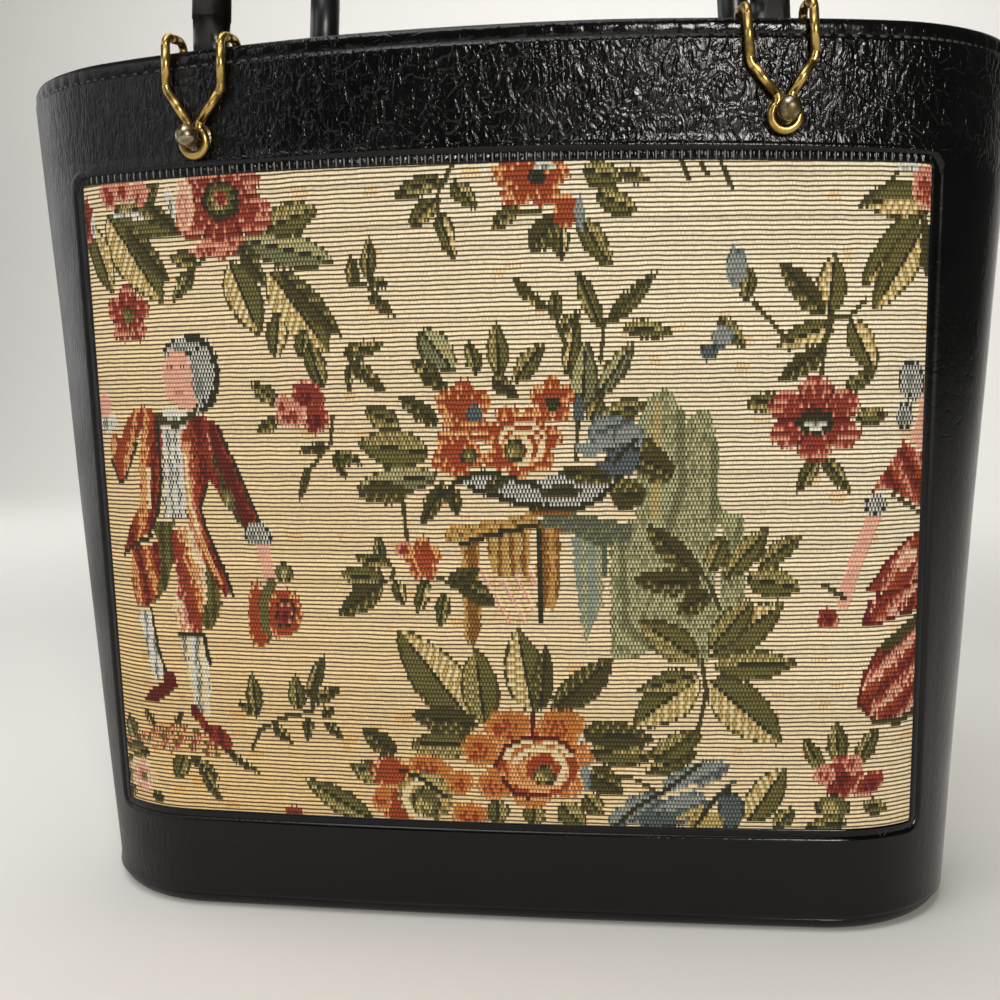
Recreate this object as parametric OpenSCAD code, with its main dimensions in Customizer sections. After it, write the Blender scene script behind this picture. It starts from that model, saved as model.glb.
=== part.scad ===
// Tapestry handbag: a flared oval tote with a stiffened wall, a black vinyl skin that frames a
// rib-woven tapestry window on each face, and two tubular handles hung from wire bails on ball studs.
// Millimetres. The front faces -Y, +Z is up, and the origin is the middle of the face it stands on.

/* [Body] */
// Height of the body, from the floor to the rim
body_h = 247; // [210:1:290]
// Width of the mouth, end to end
mouth_w = 296; // [270:1:330]
// Depth of the mouth, front to back
mouth_d = 138; // [126:1:156]
// Radius of the mouth's round ends
mouth_end_r = 56; // [46:1:60]
// Width of the base
base_w = 264; // [240:1:290]
// Depth of the base
base_d = 87; // [86:1:104]
// Radius of the base's round ends
base_end_r = 42; // [34:0.5:42.5]
// Radius of the rounded edge under the body
base_edge_r = 4; // [3:0.5:6]

/* [Wall] */
// Thickness of the vinyl skin
vinyl_t = 0.9; // [0.6:0.1:1.4]
// Thickness of the stiffening board
board_t = 1.2; // [0.8:0.1:2.4]
// Thickness of the lining and of the facing inside the mouth
lining_t = 0.6; // [0.4:0.1:1]
// Glue line between two layers of the wall
layer_gap = 0.35; // [0.3:0.05:0.6]
// Thickness of the board that closes the base
base_board_t = 2.8; // [2:0.1:4]
// Height of the rolled lip, down to its row of stitches
lip_h = 5; // [3.5:0.5:8]
// How far the rolled lip stands proud of the skin
lip_proud = 0.35; // [0.1:0.05:0.45]
// How far the facing reaches down inside the mouth
facing_h = 36; // [31:1:60]

/* [Tapestry window] */
// Width of the tapestry, measured along the wall
tapestry_w = 238; // [200:1:252]
// Height of the tapestry's lower edge over the floor
tapestry_low = 31; // [20:1:60]
// Height of the band of skin and lip over the tapestry, up to the rim
top_band = 34; // [33:1:60]
// Width of the turned edge that binds the window
binding_w = 3.2; // [2:0.1:5]
// How far the middle of the binding stands proud of the skin
binding_proud = 0.3; // [0.1:0.05:0.6]
// Radius of the window's corners
window_corner_r = 5; // [3.5:0.5:9]
// Spacing of the woven ribs, about twice the real weave's
rib_pitch = 2.2; // [2.1:0.1:4]
// Height of the ribs over the grooves between them
rib_h = 0.3; // [0.15:0.05:0.4]

/* [Handles] */
// Diameter of the tubular handle
handle_d = 10.5; // [9:0.5:12]
// Free height under the arch, over the rim
handle_rise = 135; // [110:1:160]
// Inward lean of the handle's legs, degrees
leg_lean = 3; // [0:0.5:6]
// Thickness of the flattened end of a leg
tab_t = 5; // [4.5:0.1:6]
// Width of the flattened end of a leg
tab_w = 10.6; // [8:0.1:11]

/* [Bails and studs] */
// Distance of each stud from the middle of its face, along the wall
stud_side = 78; // [60:1:86]
// Distance of each stud below the rim
stud_drop = 23; // [21:0.5:25]
// Diameter of the bail's wire
wire_d = 2.4; // [2:0.1:2.6]
// Radius of the bail's keyhole loop, to the middle of the wire
loop_r = 3.5; // [3.4:0.1:4.2]
// Spacing of the bail's two arms, to the middle of the wire
arm_gap = 16.8; // [16.4:0.1:20]
// Inward lean of each bail at its top, degrees
bail_tilt = 4.5; // [0:0.5:6]
// Diameter of the stud's ball head
ball_d = 6.2; // [5.8:0.1:7.5]
// Diameter of the stud's neck
neck_d = 2.8; // [2.4:0.1:2.9]
// Diameter of the washer that clinches the stud inside
washer_d = 10; // [8:0.5:12]

/* [Hidden] */
// Smoothness of the round parts
$fn = 48;
// Columns on each half of the front curve, and on each quarter of a round end
front_steps = 6;
end_steps = 7;
// Levels that cut the tall walls into rows, as shares of the body's height
row_shares = [1 / 3, 2 / 3];
// Small step used to measure slopes, and the overrun of every cut
probe = 0.5;
overrun = 2;

// Depths of the layers, from the outer face of the skin inwards
board_in = vinyl_t + layer_gap;
facing_in = board_in + board_t + layer_gap;
wall_t = facing_in + lining_t;
tapestry_peak_in = 0.1;
tapestry_groove_in = tapestry_peak_in + rib_h;
tapestry_t = 0.35;
tapestry_back_in = tapestry_groove_in + tapestry_t;

// Levels of the layers, from the floor up
base_board_low = vinyl_t + layer_gap;
base_board_high = base_board_low + base_board_t;
lining_low = base_board_high + layer_gap;
lining_high = body_h - facing_h - layer_gap;
board_high = body_h - lining_t - layer_gap;
seam_gap = 0.2;
skin_low = base_edge_r + seam_gap;
skin_high = body_h - lip_h - seam_gap;

// The window's upper edge and middle, and the half sizes of its opening in the skin and of the cloth
tapestry_high = body_h - top_band;
window_mid = (tapestry_low + tapestry_high) / 2;
cloth_half = [tapestry_w / 2, (tapestry_high - tapestry_low) / 2];
opening_half = [cloth_half.x + binding_w, cloth_half.y + binding_w];
cloth_gap = 0.3;
inner_corner_r = 0.5;
corner_steps = 2;
// Columns over and rows beside the window, as shares of its straight half sides, with the columns
// closer where the wall turns
window_column_shares = [0, 0.2, 0.4, 0.58, 0.7, 0.785, 0.857, 0.929];
window_row_shares = [0, 0.5];
// Columns of the skin between the window and the side seam
strip_steps = 7;
// Columns of the cloth, as shares of its half width, closer where the wall turns
cloth_column_shares = [0, 0.28, 0.55, 0.775, 0.89, 1];
cloth_back_rows = 4;

// The bail's bends, to the middle of the wire, and its clearances
wire_r = wire_d / 2;
bend_r = 2.5;
throat_bend_r = 2.2;
kink_r = 4;
throat_angle = 47;
arm_angle = 52;
// The wire thins by this much where it is bent, and each bend laps into the runs beside it
bend_thin = 0.08;
bend_lap = 0.2;
bail_gap = 0.8;
rim_clear = 1.8;
crossbar_drop = 9;
pin_clear = 0.1;
ball_clear = 0.15;
tab_clear = 0.7;
eye_clear = 0.5;

// The studs' smaller sizes
flange_d = 8.6;
flange_t = 0.4;
washer_t = 0.8;
rivet_d = 5;
rivet_t = 0.7;
seat_gap = 0.05;
washer_gap = 0.3;
shank_clear = 0.15;

// Where the handle's leg turns from a flat tab to a tube, over the crossbar
tab_h = 7;
neck_h = 19;
tab_fn = 20;
blend_inset = 0.2;
blend_lap = 1;
// The eye bulges where the strap wraps the crossbar, and stops short of the tab's round edges
eye_bulge = 0.6;
eye_short = 1.2;
// The arch is slimmer than the legs that it laps into
arch_thin = 0.1;

vinyl_black = [0.08, 0.08, 0.085];
cloth_cream = [0.86, 0.8, 0.66];
brass_gold = [0.72, 0.56, 0.24];
board_grey = [0.55, 0.5, 0.43];
lining_tan = [0.33, 0.27, 0.2];

function mix(a, b, share) = a + (b - a) * share;

// An oval of four arcs: a wide one on the front and on the back, and a tight one round each end
function front_r(w, d, r) = (pow(w / 2 - r, 2) + pow(d / 2, 2) - r * r) / (d - 2 * r);
function joint_angle(w, d, r) = atan2(w / 2 - r, front_r(w, d, r) - d / 2);

// A point of the oval's front half. Place 0 is the middle of the front, 1 is where the two arcs
// meet and 2 is the tip of the right end; negative places lie to the left.
function oval_point(w, d, r, place) =
    let (joint = joint_angle(w, d, r), wide = front_r(w, d, r), p = abs(place),
         turn = p < 1 ? joint * p : mix(joint, 90, p - 1),
         half = p < 1 ? [wide * sin(turn), wide - d / 2 - wide * cos(turn)]
                      : [w / 2 - r + r * sin(turn), -r * cos(turn)])
    [place < 0 ? -half.x : half.x, half.y];

// A point of the front half of the wall at a height, at a depth under its outer face
function wall_point(place, z, inset = 0) =
    let (low = oval_point(base_w - 2 * inset, base_d - 2 * inset, base_end_r - inset, place),
         high = oval_point(mouth_w - 2 * inset, mouth_d - 2 * inset, mouth_end_r - inset, place),
         flat = mix(low, high, z / body_h))
    [flat.x, flat.y, z];

// Lengths along the wall at a height: of half the front arc, and of a quarter end
function arc_length(r, angle) = r * angle * PI / 180;
function front_length(z) =
    mix(arc_length(front_r(base_w, base_d, base_end_r), joint_angle(base_w, base_d, base_end_r)),
        arc_length(front_r(mouth_w, mouth_d, mouth_end_r), joint_angle(mouth_w, mouth_d, mouth_end_r)),
        z / body_h);
function end_length(z) =
    mix(arc_length(base_end_r, 90 - joint_angle(base_w, base_d, base_end_r)),
        arc_length(mouth_end_r, 90 - joint_angle(mouth_w, mouth_d, mouth_end_r)), z / body_h);
function half_length(z) = front_length(z) + end_length(z);

// The place on the oval that lies a given distance along the wall from the middle of the front
function place_along(distance, z) =
    let (far = abs(distance), front = front_length(z),
         place = far < front ? far / front : 1 + (far - front) / end_length(z))
    distance < 0 ? -place : place;
function skin_point(distance, z, inset) = wall_point(place_along(distance, z), z, inset);

// A whole ring of the wall, anticlockwise from the left end as seen from above
quarter_steps = front_steps + end_steps;
ring_size = 4 * quarter_steps;
function column_place(j) =
    let (k = abs(j), place = k < front_steps ? k / front_steps : 1 + (k - front_steps) / end_steps)
    j < 0 ? -place : place;
function ring(z, inset) = concat(
    [for (j = [-quarter_steps : quarter_steps]) wall_point(column_place(j), z, inset)],
    [for (j = [quarter_steps - 1 : -1 : 1 - quarter_steps])
        let (p = wall_point(column_place(j), z, inset)) [p.x, -p.y, p.z]]);

// The section of a tall wall at one depth, from one height up or down to another
function side_rows(from, to, inset) =
    let (rows = [for (share = row_shares) body_h * share], rising = to > from)
    concat([[from, inset]],
           [for (k = [1 : len(rows)]) [rows[rising ? k - 1 : len(rows) - k], inset]], [[to, inset]]);

// Triangles of one band between two loops of points, each loop closed on itself. A falling band is cut
// along its other diagonal, so that the layers of the wall are all cut alike.
function band(low, high, size, falling = false) = [for (i = [0 : size - 1]) let (n = (i + 1) % size)
    each falling ? [[low + i, high + i, low + n], [high + i, high + n, low + n]]
                 : [[low + i, high + i, high + n], [low + i, high + n, low + n]]];
function falls(section, k) = section[(k + 1) % len(section)][0] < section[k][0];

// A closed wall whose section, a list of [height, depth], runs up outside and down inside
module ring_wall(section) {
    count = len(section);
    polyhedron(points = [for (s = section) each ring(s[0], s[1])],
               faces = [for (k = [0 : count - 1])
                   each band(k * ring_size, (k + 1) % count * ring_size, ring_size, falls(section, k))]);
}

// A pan whose section starts at its underside and ends at its floor
module pan(section) {
    last = (len(section) - 1) * ring_size;
    polyhedron(points = [for (s = section) each ring(s[0], s[1])],
               faces = concat([[for (i = [0 : ring_size - 1]) i]],
                              [for (k = [0 : len(section) - 2])
                                  each band(k * ring_size, (k + 1) * ring_size, ring_size,
                                            falls(section, k))],
                              [[for (i = [ring_size - 1 : -1 : 0]) last + i]]));
}

// Marks along one side of a rounded window, from its first corner up to its next one
function side_marks(half, r, shares) = concat(
    [for (k = [corner_steps : -1 : 0]) -half + r * (1 - tan(45 * k / corner_steps))],
    [for (i = [len(shares) - 1 : -1 : 1]) -shares[i] * (half - r)],
    [for (share = shares) share * (half - r)],
    [for (k = [0 : corner_steps - 1]) half - r * (1 - tan(45 * k / corner_steps))]);

// The sharp-cornered outline of a window, anticlockwise as seen from the front
function sharp_outline(half, r) =
    let (across = side_marks(half.x, r, window_column_shares),
         up = side_marks(half.y, r, window_row_shares))
    concat([for (m = across) [m, -half.y]], [for (m = up) [half.x, m]],
           [for (m = across) [-m, half.y]], [for (m = up) [-half.x, -m]]);
outline_size = len(sharp_outline(opening_half, window_corner_r));

// Pulls a point of the sharp outline in to the round of its corner
function rounded(p, half, r) =
    let (core = [half.x - r, half.y - r], over = [abs(p.x) - core.x, abs(p.y) - core.y],
         reach = norm(over))
    over.x > 0 && over.y > 0
        ? [sign(p.x) * (core.x + r * over.x / reach), sign(p.y) * (core.y + r * over.y / reach)] : p;

// The skin's grid: columns from seam to seam and rows from the base up to the lip, with the marks of
// the window's sides among them
across_marks = concat(side_marks(opening_half.x, window_corner_r, window_column_shares), [opening_half.x]);
up_marks = concat(side_marks(opening_half.y, window_corner_r, window_row_shares), [opening_half.y]);
window_cells = [len(across_marks) - 1, len(up_marks) - 1];
skin_cells = [window_cells.x + 2 * strip_steps, window_cells.y + 2];
function in_window(i, j, reach) =
    i >= strip_steps && i < strip_steps + window_cells.x + reach && j >= 1 && j < 1 + window_cells.y + reach;
function has_cell(i, j) =
    i >= 0 && i < skin_cells.x && j >= 0 && j < skin_cells.y && !in_window(i, j, 0);
function skin_z(j) =
    j == 0 ? skin_low : j == skin_cells.y ? skin_high : window_mid + up_marks[j - 1];
function skin_along(i, z) =
    let (past = i - strip_steps - window_cells.x)
    i < strip_steps ? mix(-half_length(z), -opening_half.x, i / strip_steps)
    : past > 0 ? mix(opening_half.x, half_length(z), past / strip_steps) : across_marks[i - strip_steps];
function skin_vertex(i, j, inset) =
    let (z = skin_z(j), sharp = [skin_along(i, z), z - window_mid],
         p = in_window(i, j, 1) ? rounded(sharp, opening_half, window_corner_r) : sharp)
    skin_point(p.x, window_mid + p.y, inset);

// One face of the skin with the window cut out, laid on the front wall and closed to its thickness
module skin_shell() {
    row = skin_cells.x + 1;
    back = row * (skin_cells.y + 1);
    function v(i, j) = j * row + i;
    function quad(a, b, c, d) = [[a, b, c], [a, c, d]];
    cells = [for (j = [0 : skin_cells.y - 1], i = [0 : skin_cells.x - 1]) if (has_cell(i, j)) [i, j]];
    polyhedron(points = [for (inset = [0, vinyl_t], j = [0 : skin_cells.y], i = [0 : skin_cells.x])
                   skin_vertex(i, j, inset)],
               faces = [for (c = cells) let (i = c.x, j = c.y, a = v(i, j), b = v(i, j + 1),
                                             d = v(i + 1, j), e = v(i + 1, j + 1))
                   each concat(quad(a, b, e, d), quad(back + a, back + d, back + e, back + b),
                       has_cell(i - 1, j) ? [] : quad(a, back + a, back + b, b),
                       has_cell(i + 1, j) ? [] : quad(d, e, back + e, back + d),
                       has_cell(i, j - 1) ? [] : quad(a, d, back + d, back + a),
                       has_cell(i, j + 1) ? [] : quad(b, back + b, back + e, e))]);
}

// A strip round the window. Its loops run outwards: first those of its face, then those of its back
module window_strip(face_loops, back_loops) {
    count = len(face_loops);
    back = count * outline_size;
    polyhedron(points = [for (loop = concat(face_loops, back_loops)) each loop],
               faces = concat(
                   [for (k = [0 : count - 2])
                       each band((k + 1) * outline_size, k * outline_size, outline_size)],
                   [for (k = [0 : count - 2])
                       each band(back + k * outline_size, back + (k + 1) * outline_size, outline_size)],
                   band(0, back, outline_size),
                   band(back + (count - 1) * outline_size, (count - 1) * outline_size, outline_size)));
}

// The studs' place on the front wall, and how the wall turns and leans there
stud_z = body_h - stud_drop;
stud_place = place_along(stud_side, stud_z);
stud_point = wall_point(stud_place, stud_z);
along_wall = wall_point(stud_place + probe / front_length(stud_z), stud_z) - stud_point;
up_wall = wall_point(stud_place, stud_z + probe) - stud_point;
wall_turn = atan2(along_wall.y, along_wall.x);
wall_lean = atan2(up_wall.x * sin(wall_turn) - up_wall.y * cos(wall_turn), up_wall.z);

// The bail's own frame: the stud's axis is the origin, +Y runs into the wall and +Z up along it
wire_out = -bail_gap - wire_r;
crossbar_in = wall_t + tab_clear + tab_t / 2;
bail_top = (stud_drop + rim_clear + wire_r) / cos(wall_lean);
crossbar_z = (stud_drop - crossbar_drop) / cos(wall_lean);
throat_centre = (loop_r + throat_bend_r) * [cos(throat_angle), sin(throat_angle)];
// At rest the neck of the stud lies in the throat of the keyhole, this far over the loop's centre
throat_reach = throat_bend_r + wire_r + neck_d / 2 + pin_clear;
neck_seat = throat_centre.y - sqrt(pow(throat_reach, 2) - pow(throat_centre.x, 2));
ball_out = -wire_out + sqrt(pow(wire_r + ball_d / 2 + ball_clear, 2)
                            - pow(wire_r + neck_d / 2 + pin_clear, 2));

// Where the right crossbar's middle lies in the part's frame
crossbar_side = -crossbar_z * sin(bail_tilt);
crossbar_up = crossbar_z * cos(bail_tilt);
crossbar_y = crossbar_in * cos(wall_lean) - crossbar_up * sin(wall_lean);
crossbar_point = stud_point + [crossbar_side * cos(wall_turn) - crossbar_y * sin(wall_turn),
                               crossbar_side * sin(wall_turn) + crossbar_y * cos(wall_turn),
                               crossbar_in * sin(wall_lean) + crossbar_up * cos(wall_lean)];

// The handle's arch: straight legs that lean in, then one arc over the top
arch_top = body_h + handle_rise + handle_d / 2 - crossbar_point.z;
lean_share = (1 - sin(leg_lean)) / cos(leg_lean);
leg_length = (arch_top - crossbar_point.x * lean_share) / (cos(leg_lean) - sin(leg_lean) * lean_share);
arch_r = (crossbar_point.x - leg_length * sin(leg_lean)) / cos(leg_lean);

// Turns a shape of the front half round to the back
module facing_rear(rear) rotate([0, 0, rear ? 180 : 0]) children();

// Sets a shape of the bail's frame on the wall, at the right or the left stud
module at_stud(right) {
    side = right ? 1 : -1;
    translate([side * stud_point.x, stud_point.y, stud_point.z])
        rotate([wall_lean, 0, side * wall_turn])
        children();
}

// The holes that the front face's studs pass through
module stud_holes() {
    for (right = [false, true])
        at_stud(right)
            translate([0, wall_t + overrun, 0])
            rotate([90, 0, 0])
            cylinder(d = neck_d + 2 * shank_clear, h = wall_t + 2 * overrun);
}

module body_board() {
    color(board_grey)
    difference() {
        ring_wall(concat(side_rows(base_board_low, board_high, board_in),
                         side_rows(board_high, base_board_low, board_in + board_t)));
        for (rear = [false, true]) facing_rear(rear) stud_holes();
    }
}

// A flat plate that fits inside the stiffened wall
module base_board() {
    color(board_grey)
    translate([0, 0, base_board_low])
        linear_extrude(base_board_t)
        polygon([for (p = ring(base_board_low, board_in + board_t + layer_gap)) [p.x, p.y]]);
}

module base_cover() {
    turns = [0, 30, 60, 90];
    color(vinyl_black)
    pan(concat([for (a = turns) [base_edge_r * (1 - cos(a)), base_edge_r * (1 - sin(a))]],
               [[base_edge_r, vinyl_t], [vinyl_t, vinyl_t]]));
}

module lining() {
    color(lining_tan)
    pan(concat(side_rows(lining_low, lining_high, facing_in),
               side_rows(lining_high, lining_low + lining_t, facing_in + lining_t)));
}

// One band of vinyl rolled over the rim: a puffed lip outside and a facing inside
module mouth_facing() {
    lip_low = body_h - lip_h;
    crown = (vinyl_t + wall_t) / 2;
    color(vinyl_black)
    difference() {
        ring_wall([[lip_low, 0], [body_h - lip_h / 2, -lip_proud], [body_h - lining_t, 0],
                   [body_h, crown], [body_h - lining_t, wall_t],
                   [body_h - facing_h, wall_t], [body_h - facing_h, facing_in],
                   [body_h - lining_t, facing_in], [body_h - lining_t, vinyl_t], [lip_low, vinyl_t]]);
        for (rear = [false, true]) facing_rear(rear) stud_holes();
    }
}

module vinyl_frame(rear) {
    color(vinyl_black)
    facing_rear(rear)
    difference() {
        skin_shell();
        stud_holes();
    }
}

// The turned edge of the window: a low, rounded strip from the cloth out to the skin
module window_binding(rear) {
    function strip(share, inset) =
        [for (i = [0 : outline_size - 1])
            let (a = rounded(sharp_outline(cloth_half, inner_corner_r)[i], cloth_half, inner_corner_r),
                 b = rounded(sharp_outline(opening_half, window_corner_r)[i], opening_half, window_corner_r),
                 p = mix(a, b, share))
            skin_point(p.x, window_mid + p.y, inset)];
    color(vinyl_black)
    facing_rear(rear)
    window_strip([strip(0, 0), strip(1 / 2, -binding_proud), strip(1, 0)],
                 [strip(0, vinyl_t), strip(1 / 2, vinyl_t), strip(1, vinyl_t)]);
}

// The tapestry: a cloth with woven ribs from side to side, on a plain back
module tapestry_panel(rear) {
    half = [cloth_half.x - cloth_gap, cloth_half.y - cloth_gap];
    ribs = floor(2 * half.y / rib_pitch);
    rows = 2 * ribs;
    last = len(cloth_column_shares) - 1;
    columns = concat([for (i = [last : -1 : 1]) -half.x * cloth_column_shares[i]],
                     [for (share = cloth_column_shares) half.x * share]);
    width = len(columns);
    function row_z(j) = window_mid + half.y * (2 * j / rows - 1);
    function back_row(j) = floor(j * cloth_back_rows / rows + 1 / 2);
    function rib_in(j) = j % 2 == 0 ? tapestry_groove_in : tapestry_peak_in;
    face = [for (j = [0 : rows]) each [for (c = columns) skin_point(c, row_z(j), rib_in(j))]];
    back = [for (m = [0 : cloth_back_rows]) each [for (c = columns)
        skin_point(c, row_z(m * rows / cloth_back_rows), tapestry_back_in)]];
    function f(j, i) = j * width + i;
    function b(m, i) = len(face) + m * width + i;
    end = width - 1;
    color(cloth_cream)
    facing_rear(rear)
    polyhedron(points = concat(face, back), faces = concat(
        [for (j = [0 : rows - 1], i = [0 : end - 1])
            each [[f(j, i), f(j + 1, i), f(j + 1, i + 1)], [f(j, i), f(j + 1, i + 1), f(j, i + 1)]]],
        [for (m = [0 : cloth_back_rows - 1], i = [0 : end - 1])
            each [[b(m, i), b(m + 1, i + 1), b(m + 1, i)], [b(m, i), b(m, i + 1), b(m + 1, i + 1)]]],
        [for (i = [0 : end - 1])
            each [[f(0, i), f(0, i + 1), b(0, i + 1)], [f(0, i), b(0, i + 1), b(0, i)],
                  [f(rows, i), b(cloth_back_rows, i), b(cloth_back_rows, i + 1)],
                  [f(rows, i), b(cloth_back_rows, i + 1), f(rows, i + 1)]]],
        [for (j = [0 : rows - 1]) let (m = back_row(j))
            each [[f(j, 0), b(m, 0), f(j + 1, 0)], [f(j, end), f(j + 1, end), b(m, end)]]],
        [for (j = [0 : rows - 1]) let (m = back_row(j), n = back_row(j + 1)) if (n != m)
            each [[f(j + 1, 0), b(m, 0), b(n, 0)], [f(j + 1, end), b(n, end), b(m, end)]]]));
}

// A bent length of wire in the plane of the bail, or square to it
module wire_bend(centre, r, start, sweep, square = false) {
    lap = bend_lap / arc_length(r, 1);
    translate(centre)
        rotate([90, 0, square ? 90 : 0])
        rotate([0, 0, start - lap])
        rotate_extrude(angle = sweep + 2 * lap)
        translate([r, 0])
        circle(d = wire_d - bend_thin);
}

// The keyhole loop round the stud's neck, open at its throat
module wire_loop() {
    translate([0, wire_out, -neck_seat])
        rotate([90, 0, 0])
        rotate([0, 0, 180 - throat_angle])
        rotate_extrude(angle = 180 + 2 * throat_angle)
        translate([loop_r, 0])
        circle(d = wire_d);
}

// A straight length of wire from a point, towards an angle in the plane of the bail
module wire_run(start, angle, run) translate(start) rotate([0, 90 - angle, 0]) cylinder(d = wire_d, h = run);

// One arm of the bail: out of the throat, up the wall, over the rim, down inside and along the crossbar
module bail_arm() {
    loop_z = -neck_seat;
    throat = [throat_centre.x, wire_out, loop_z + throat_centre.y];
    arm_start = throat + throat_bend_r * [cos(arm_angle + 90), 0, sin(arm_angle + 90)];
    arm_run = (arm_gap / 2 - arm_start.x - kink_r * (1 - sin(arm_angle))) / cos(arm_angle);
    kink = arm_start + arm_run * [cos(arm_angle), 0, sin(arm_angle)]
           + kink_r * [cos(arm_angle + 90), 0, sin(arm_angle + 90)];
    elbow_z = bail_top - bend_r;
    x = arm_gap / 2;
    wire_bend(throat, throat_bend_r, arm_angle + 90, throat_angle + 90 - arm_angle);
    wire_run(arm_start, arm_angle, arm_run);
    wire_bend(kink, kink_r, arm_angle - 90, 90 - arm_angle);
    wire_run([x, wire_out, kink.z], 90, elbow_z - kink.z);
    wire_bend([x, wire_out + bend_r, elbow_z], bend_r, 90, 90, true);
    translate([x, wire_out + bend_r, bail_top])
        rotate([-90, 0, 0])
        cylinder(d = wire_d, h = crossbar_in - wire_out - 2 * bend_r);
    wire_bend([x, crossbar_in - bend_r, elbow_z], bend_r, 0, 90, true);
    wire_run([x, crossbar_in, crossbar_z + bend_r], 90, elbow_z - crossbar_z - bend_r);
    wire_bend([x - bend_r, crossbar_in, crossbar_z + bend_r], bend_r, 270, 90);
}

// A bail bent from one wire: a keyhole loop on the stud, two arms over the rim and a crossbar inside
module bail(rear, right) {
    crossbar_half = arm_gap / 2 - bend_r;
    color(brass_gold)
    facing_rear(rear)
    at_stud(right)
    rotate([0, right ? -bail_tilt : bail_tilt, 0]) {
        wire_loop();
        bail_arm();
        mirror([1, 0, 0]) bail_arm();
        wire_run([-crossbar_half, crossbar_in, crossbar_z], 0, 2 * crossbar_half);
    }
}

// A ball stud: head, neck and base flange outside, and a shank clinched over the washer inside
module stud(rear, right) {
    shank_end = wall_t + washer_gap + washer_t + seat_gap;
    color(brass_gold)
    facing_rear(rear)
    at_stud(right) {
        translate([0, -ball_out, 0]) sphere(d = ball_d);
        translate([0, shank_end, 0])
            rotate([90, 0, 0])
            cylinder(d = neck_d, h = shank_end + ball_out);
        translate([0, -seat_gap, 0]) rotate([90, 0, 0]) cylinder(d = flange_d, h = flange_t);
        translate([0, shank_end + rivet_t, 0]) rotate([90, 0, 0]) cylinder(d = rivet_d, h = rivet_t);
    }
}

// The washer that spreads the stud's pull inside the mouth
module washer(rear, right) {
    color(brass_gold)
    facing_rear(rear)
    at_stud(right)
    translate([0, wall_t + washer_gap + washer_t, 0])
        rotate([90, 0, 0])
        difference() {
            cylinder(d = washer_d, h = washer_t);
            translate([0, 0, -overrun])
                cylinder(d = neck_d + 2 * shank_clear, h = washer_t + 2 * overrun);
        }
}

// The outline of the flattened end of a leg: straight sides with round edges
module tab_outline() {
    flat = tab_w - tab_t;
    square([flat, tab_t], center = true);
    for (side = [-1, 1]) translate([side * flat / 2, 0]) circle(d = tab_t, $fn = tab_fn);
}

// Lays a shape that stands on +Z along the crossbar of the right or the left bail
module along_crossbar(side) rotate([0, 90 - side * bail_tilt, side * wall_turn]) children();

// A leg from its crossbar up to the arch: a flat tab with an eye, then a tube
module handle_leg(side) {
    tube_low = neck_h - blend_lap;
    difference() {
        union() {
            along_crossbar(side)
                cylinder(d = tab_t + eye_bulge, h = tab_w - eye_short, center = true);
            rotate([0, -side * leg_lean, 0]) {
                rotate([0, 0, side * wall_turn]) hull() linear_extrude(tab_h) tab_outline();
                hull() {
                    rotate([0, 0, side * wall_turn])
                        translate([0, 0, tab_h - blend_lap])
                        linear_extrude(blend_lap / 2)
                        offset(delta = -blend_inset)
                        tab_outline();
                    translate([0, 0, tube_low])
                        cylinder(d = handle_d - 2 * blend_inset, h = 2 * blend_lap, $fn = tab_fn);
                }
                translate([0, 0, tube_low]) cylinder(d = handle_d, h = leg_length - tube_low);
            }
        }
        along_crossbar(side)
            cylinder(d = wire_d + 2 * eye_clear, h = tab_w + 2 * overrun, center = true);
    }
}

// A tubular handle: one arc over the top between two legs
module handle(rear) {
    arch_z = leg_length * cos(leg_lean) - arch_r * sin(leg_lean);
    arch_lap = blend_lap / arc_length(arch_r, 1);
    color(vinyl_black)
    facing_rear(rear)
    translate([0, crossbar_point.y, crossbar_point.z]) {
        translate([0, 0, arch_z])
            rotate([90, 0, 0])
            rotate([0, 0, leg_lean - arch_lap])
            rotate_extrude(angle = 180 - 2 * leg_lean + 2 * arch_lap)
            translate([arch_r, 0])
            circle(d = handle_d - arch_thin);
        for (side = [-1, 1]) translate([side * crossbar_point.x, 0, 0]) handle_leg(side);
    }
}

body_board();
base_board();
base_cover();
lining();
mouth_facing();
vinyl_frame(false);  // front_vinyl_frame
vinyl_frame(true);  // back_vinyl_frame
tapestry_panel(false);  // front_tapestry_panel
tapestry_panel(true);  // back_tapestry_panel
window_binding(false);  // front_window_binding
window_binding(true);  // back_window_binding
handle(false);  // front_handle
handle(true);  // rear_handle
bail(false, false);  // front_left_bail
bail(false, true);  // front_right_bail
bail(true, true);  // rear_left_bail
bail(true, false);  // rear_right_bail
stud(false, false);  // front_left_stud
stud(false, true);  // front_right_stud
stud(true, true);  // rear_left_stud
stud(true, false);  // rear_right_stud
washer(false, false);  // front_left_washer
washer(false, true);  // front_right_washer
washer(true, true);  // rear_left_washer
washer(true, false);  // rear_right_washer
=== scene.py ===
# Tapestry handbag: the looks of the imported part. Metres, in the part's own frame: the front faces -Y.
import math

import bmesh
import bpy
import numpy as np
from mathutils import Matrix, Vector


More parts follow.
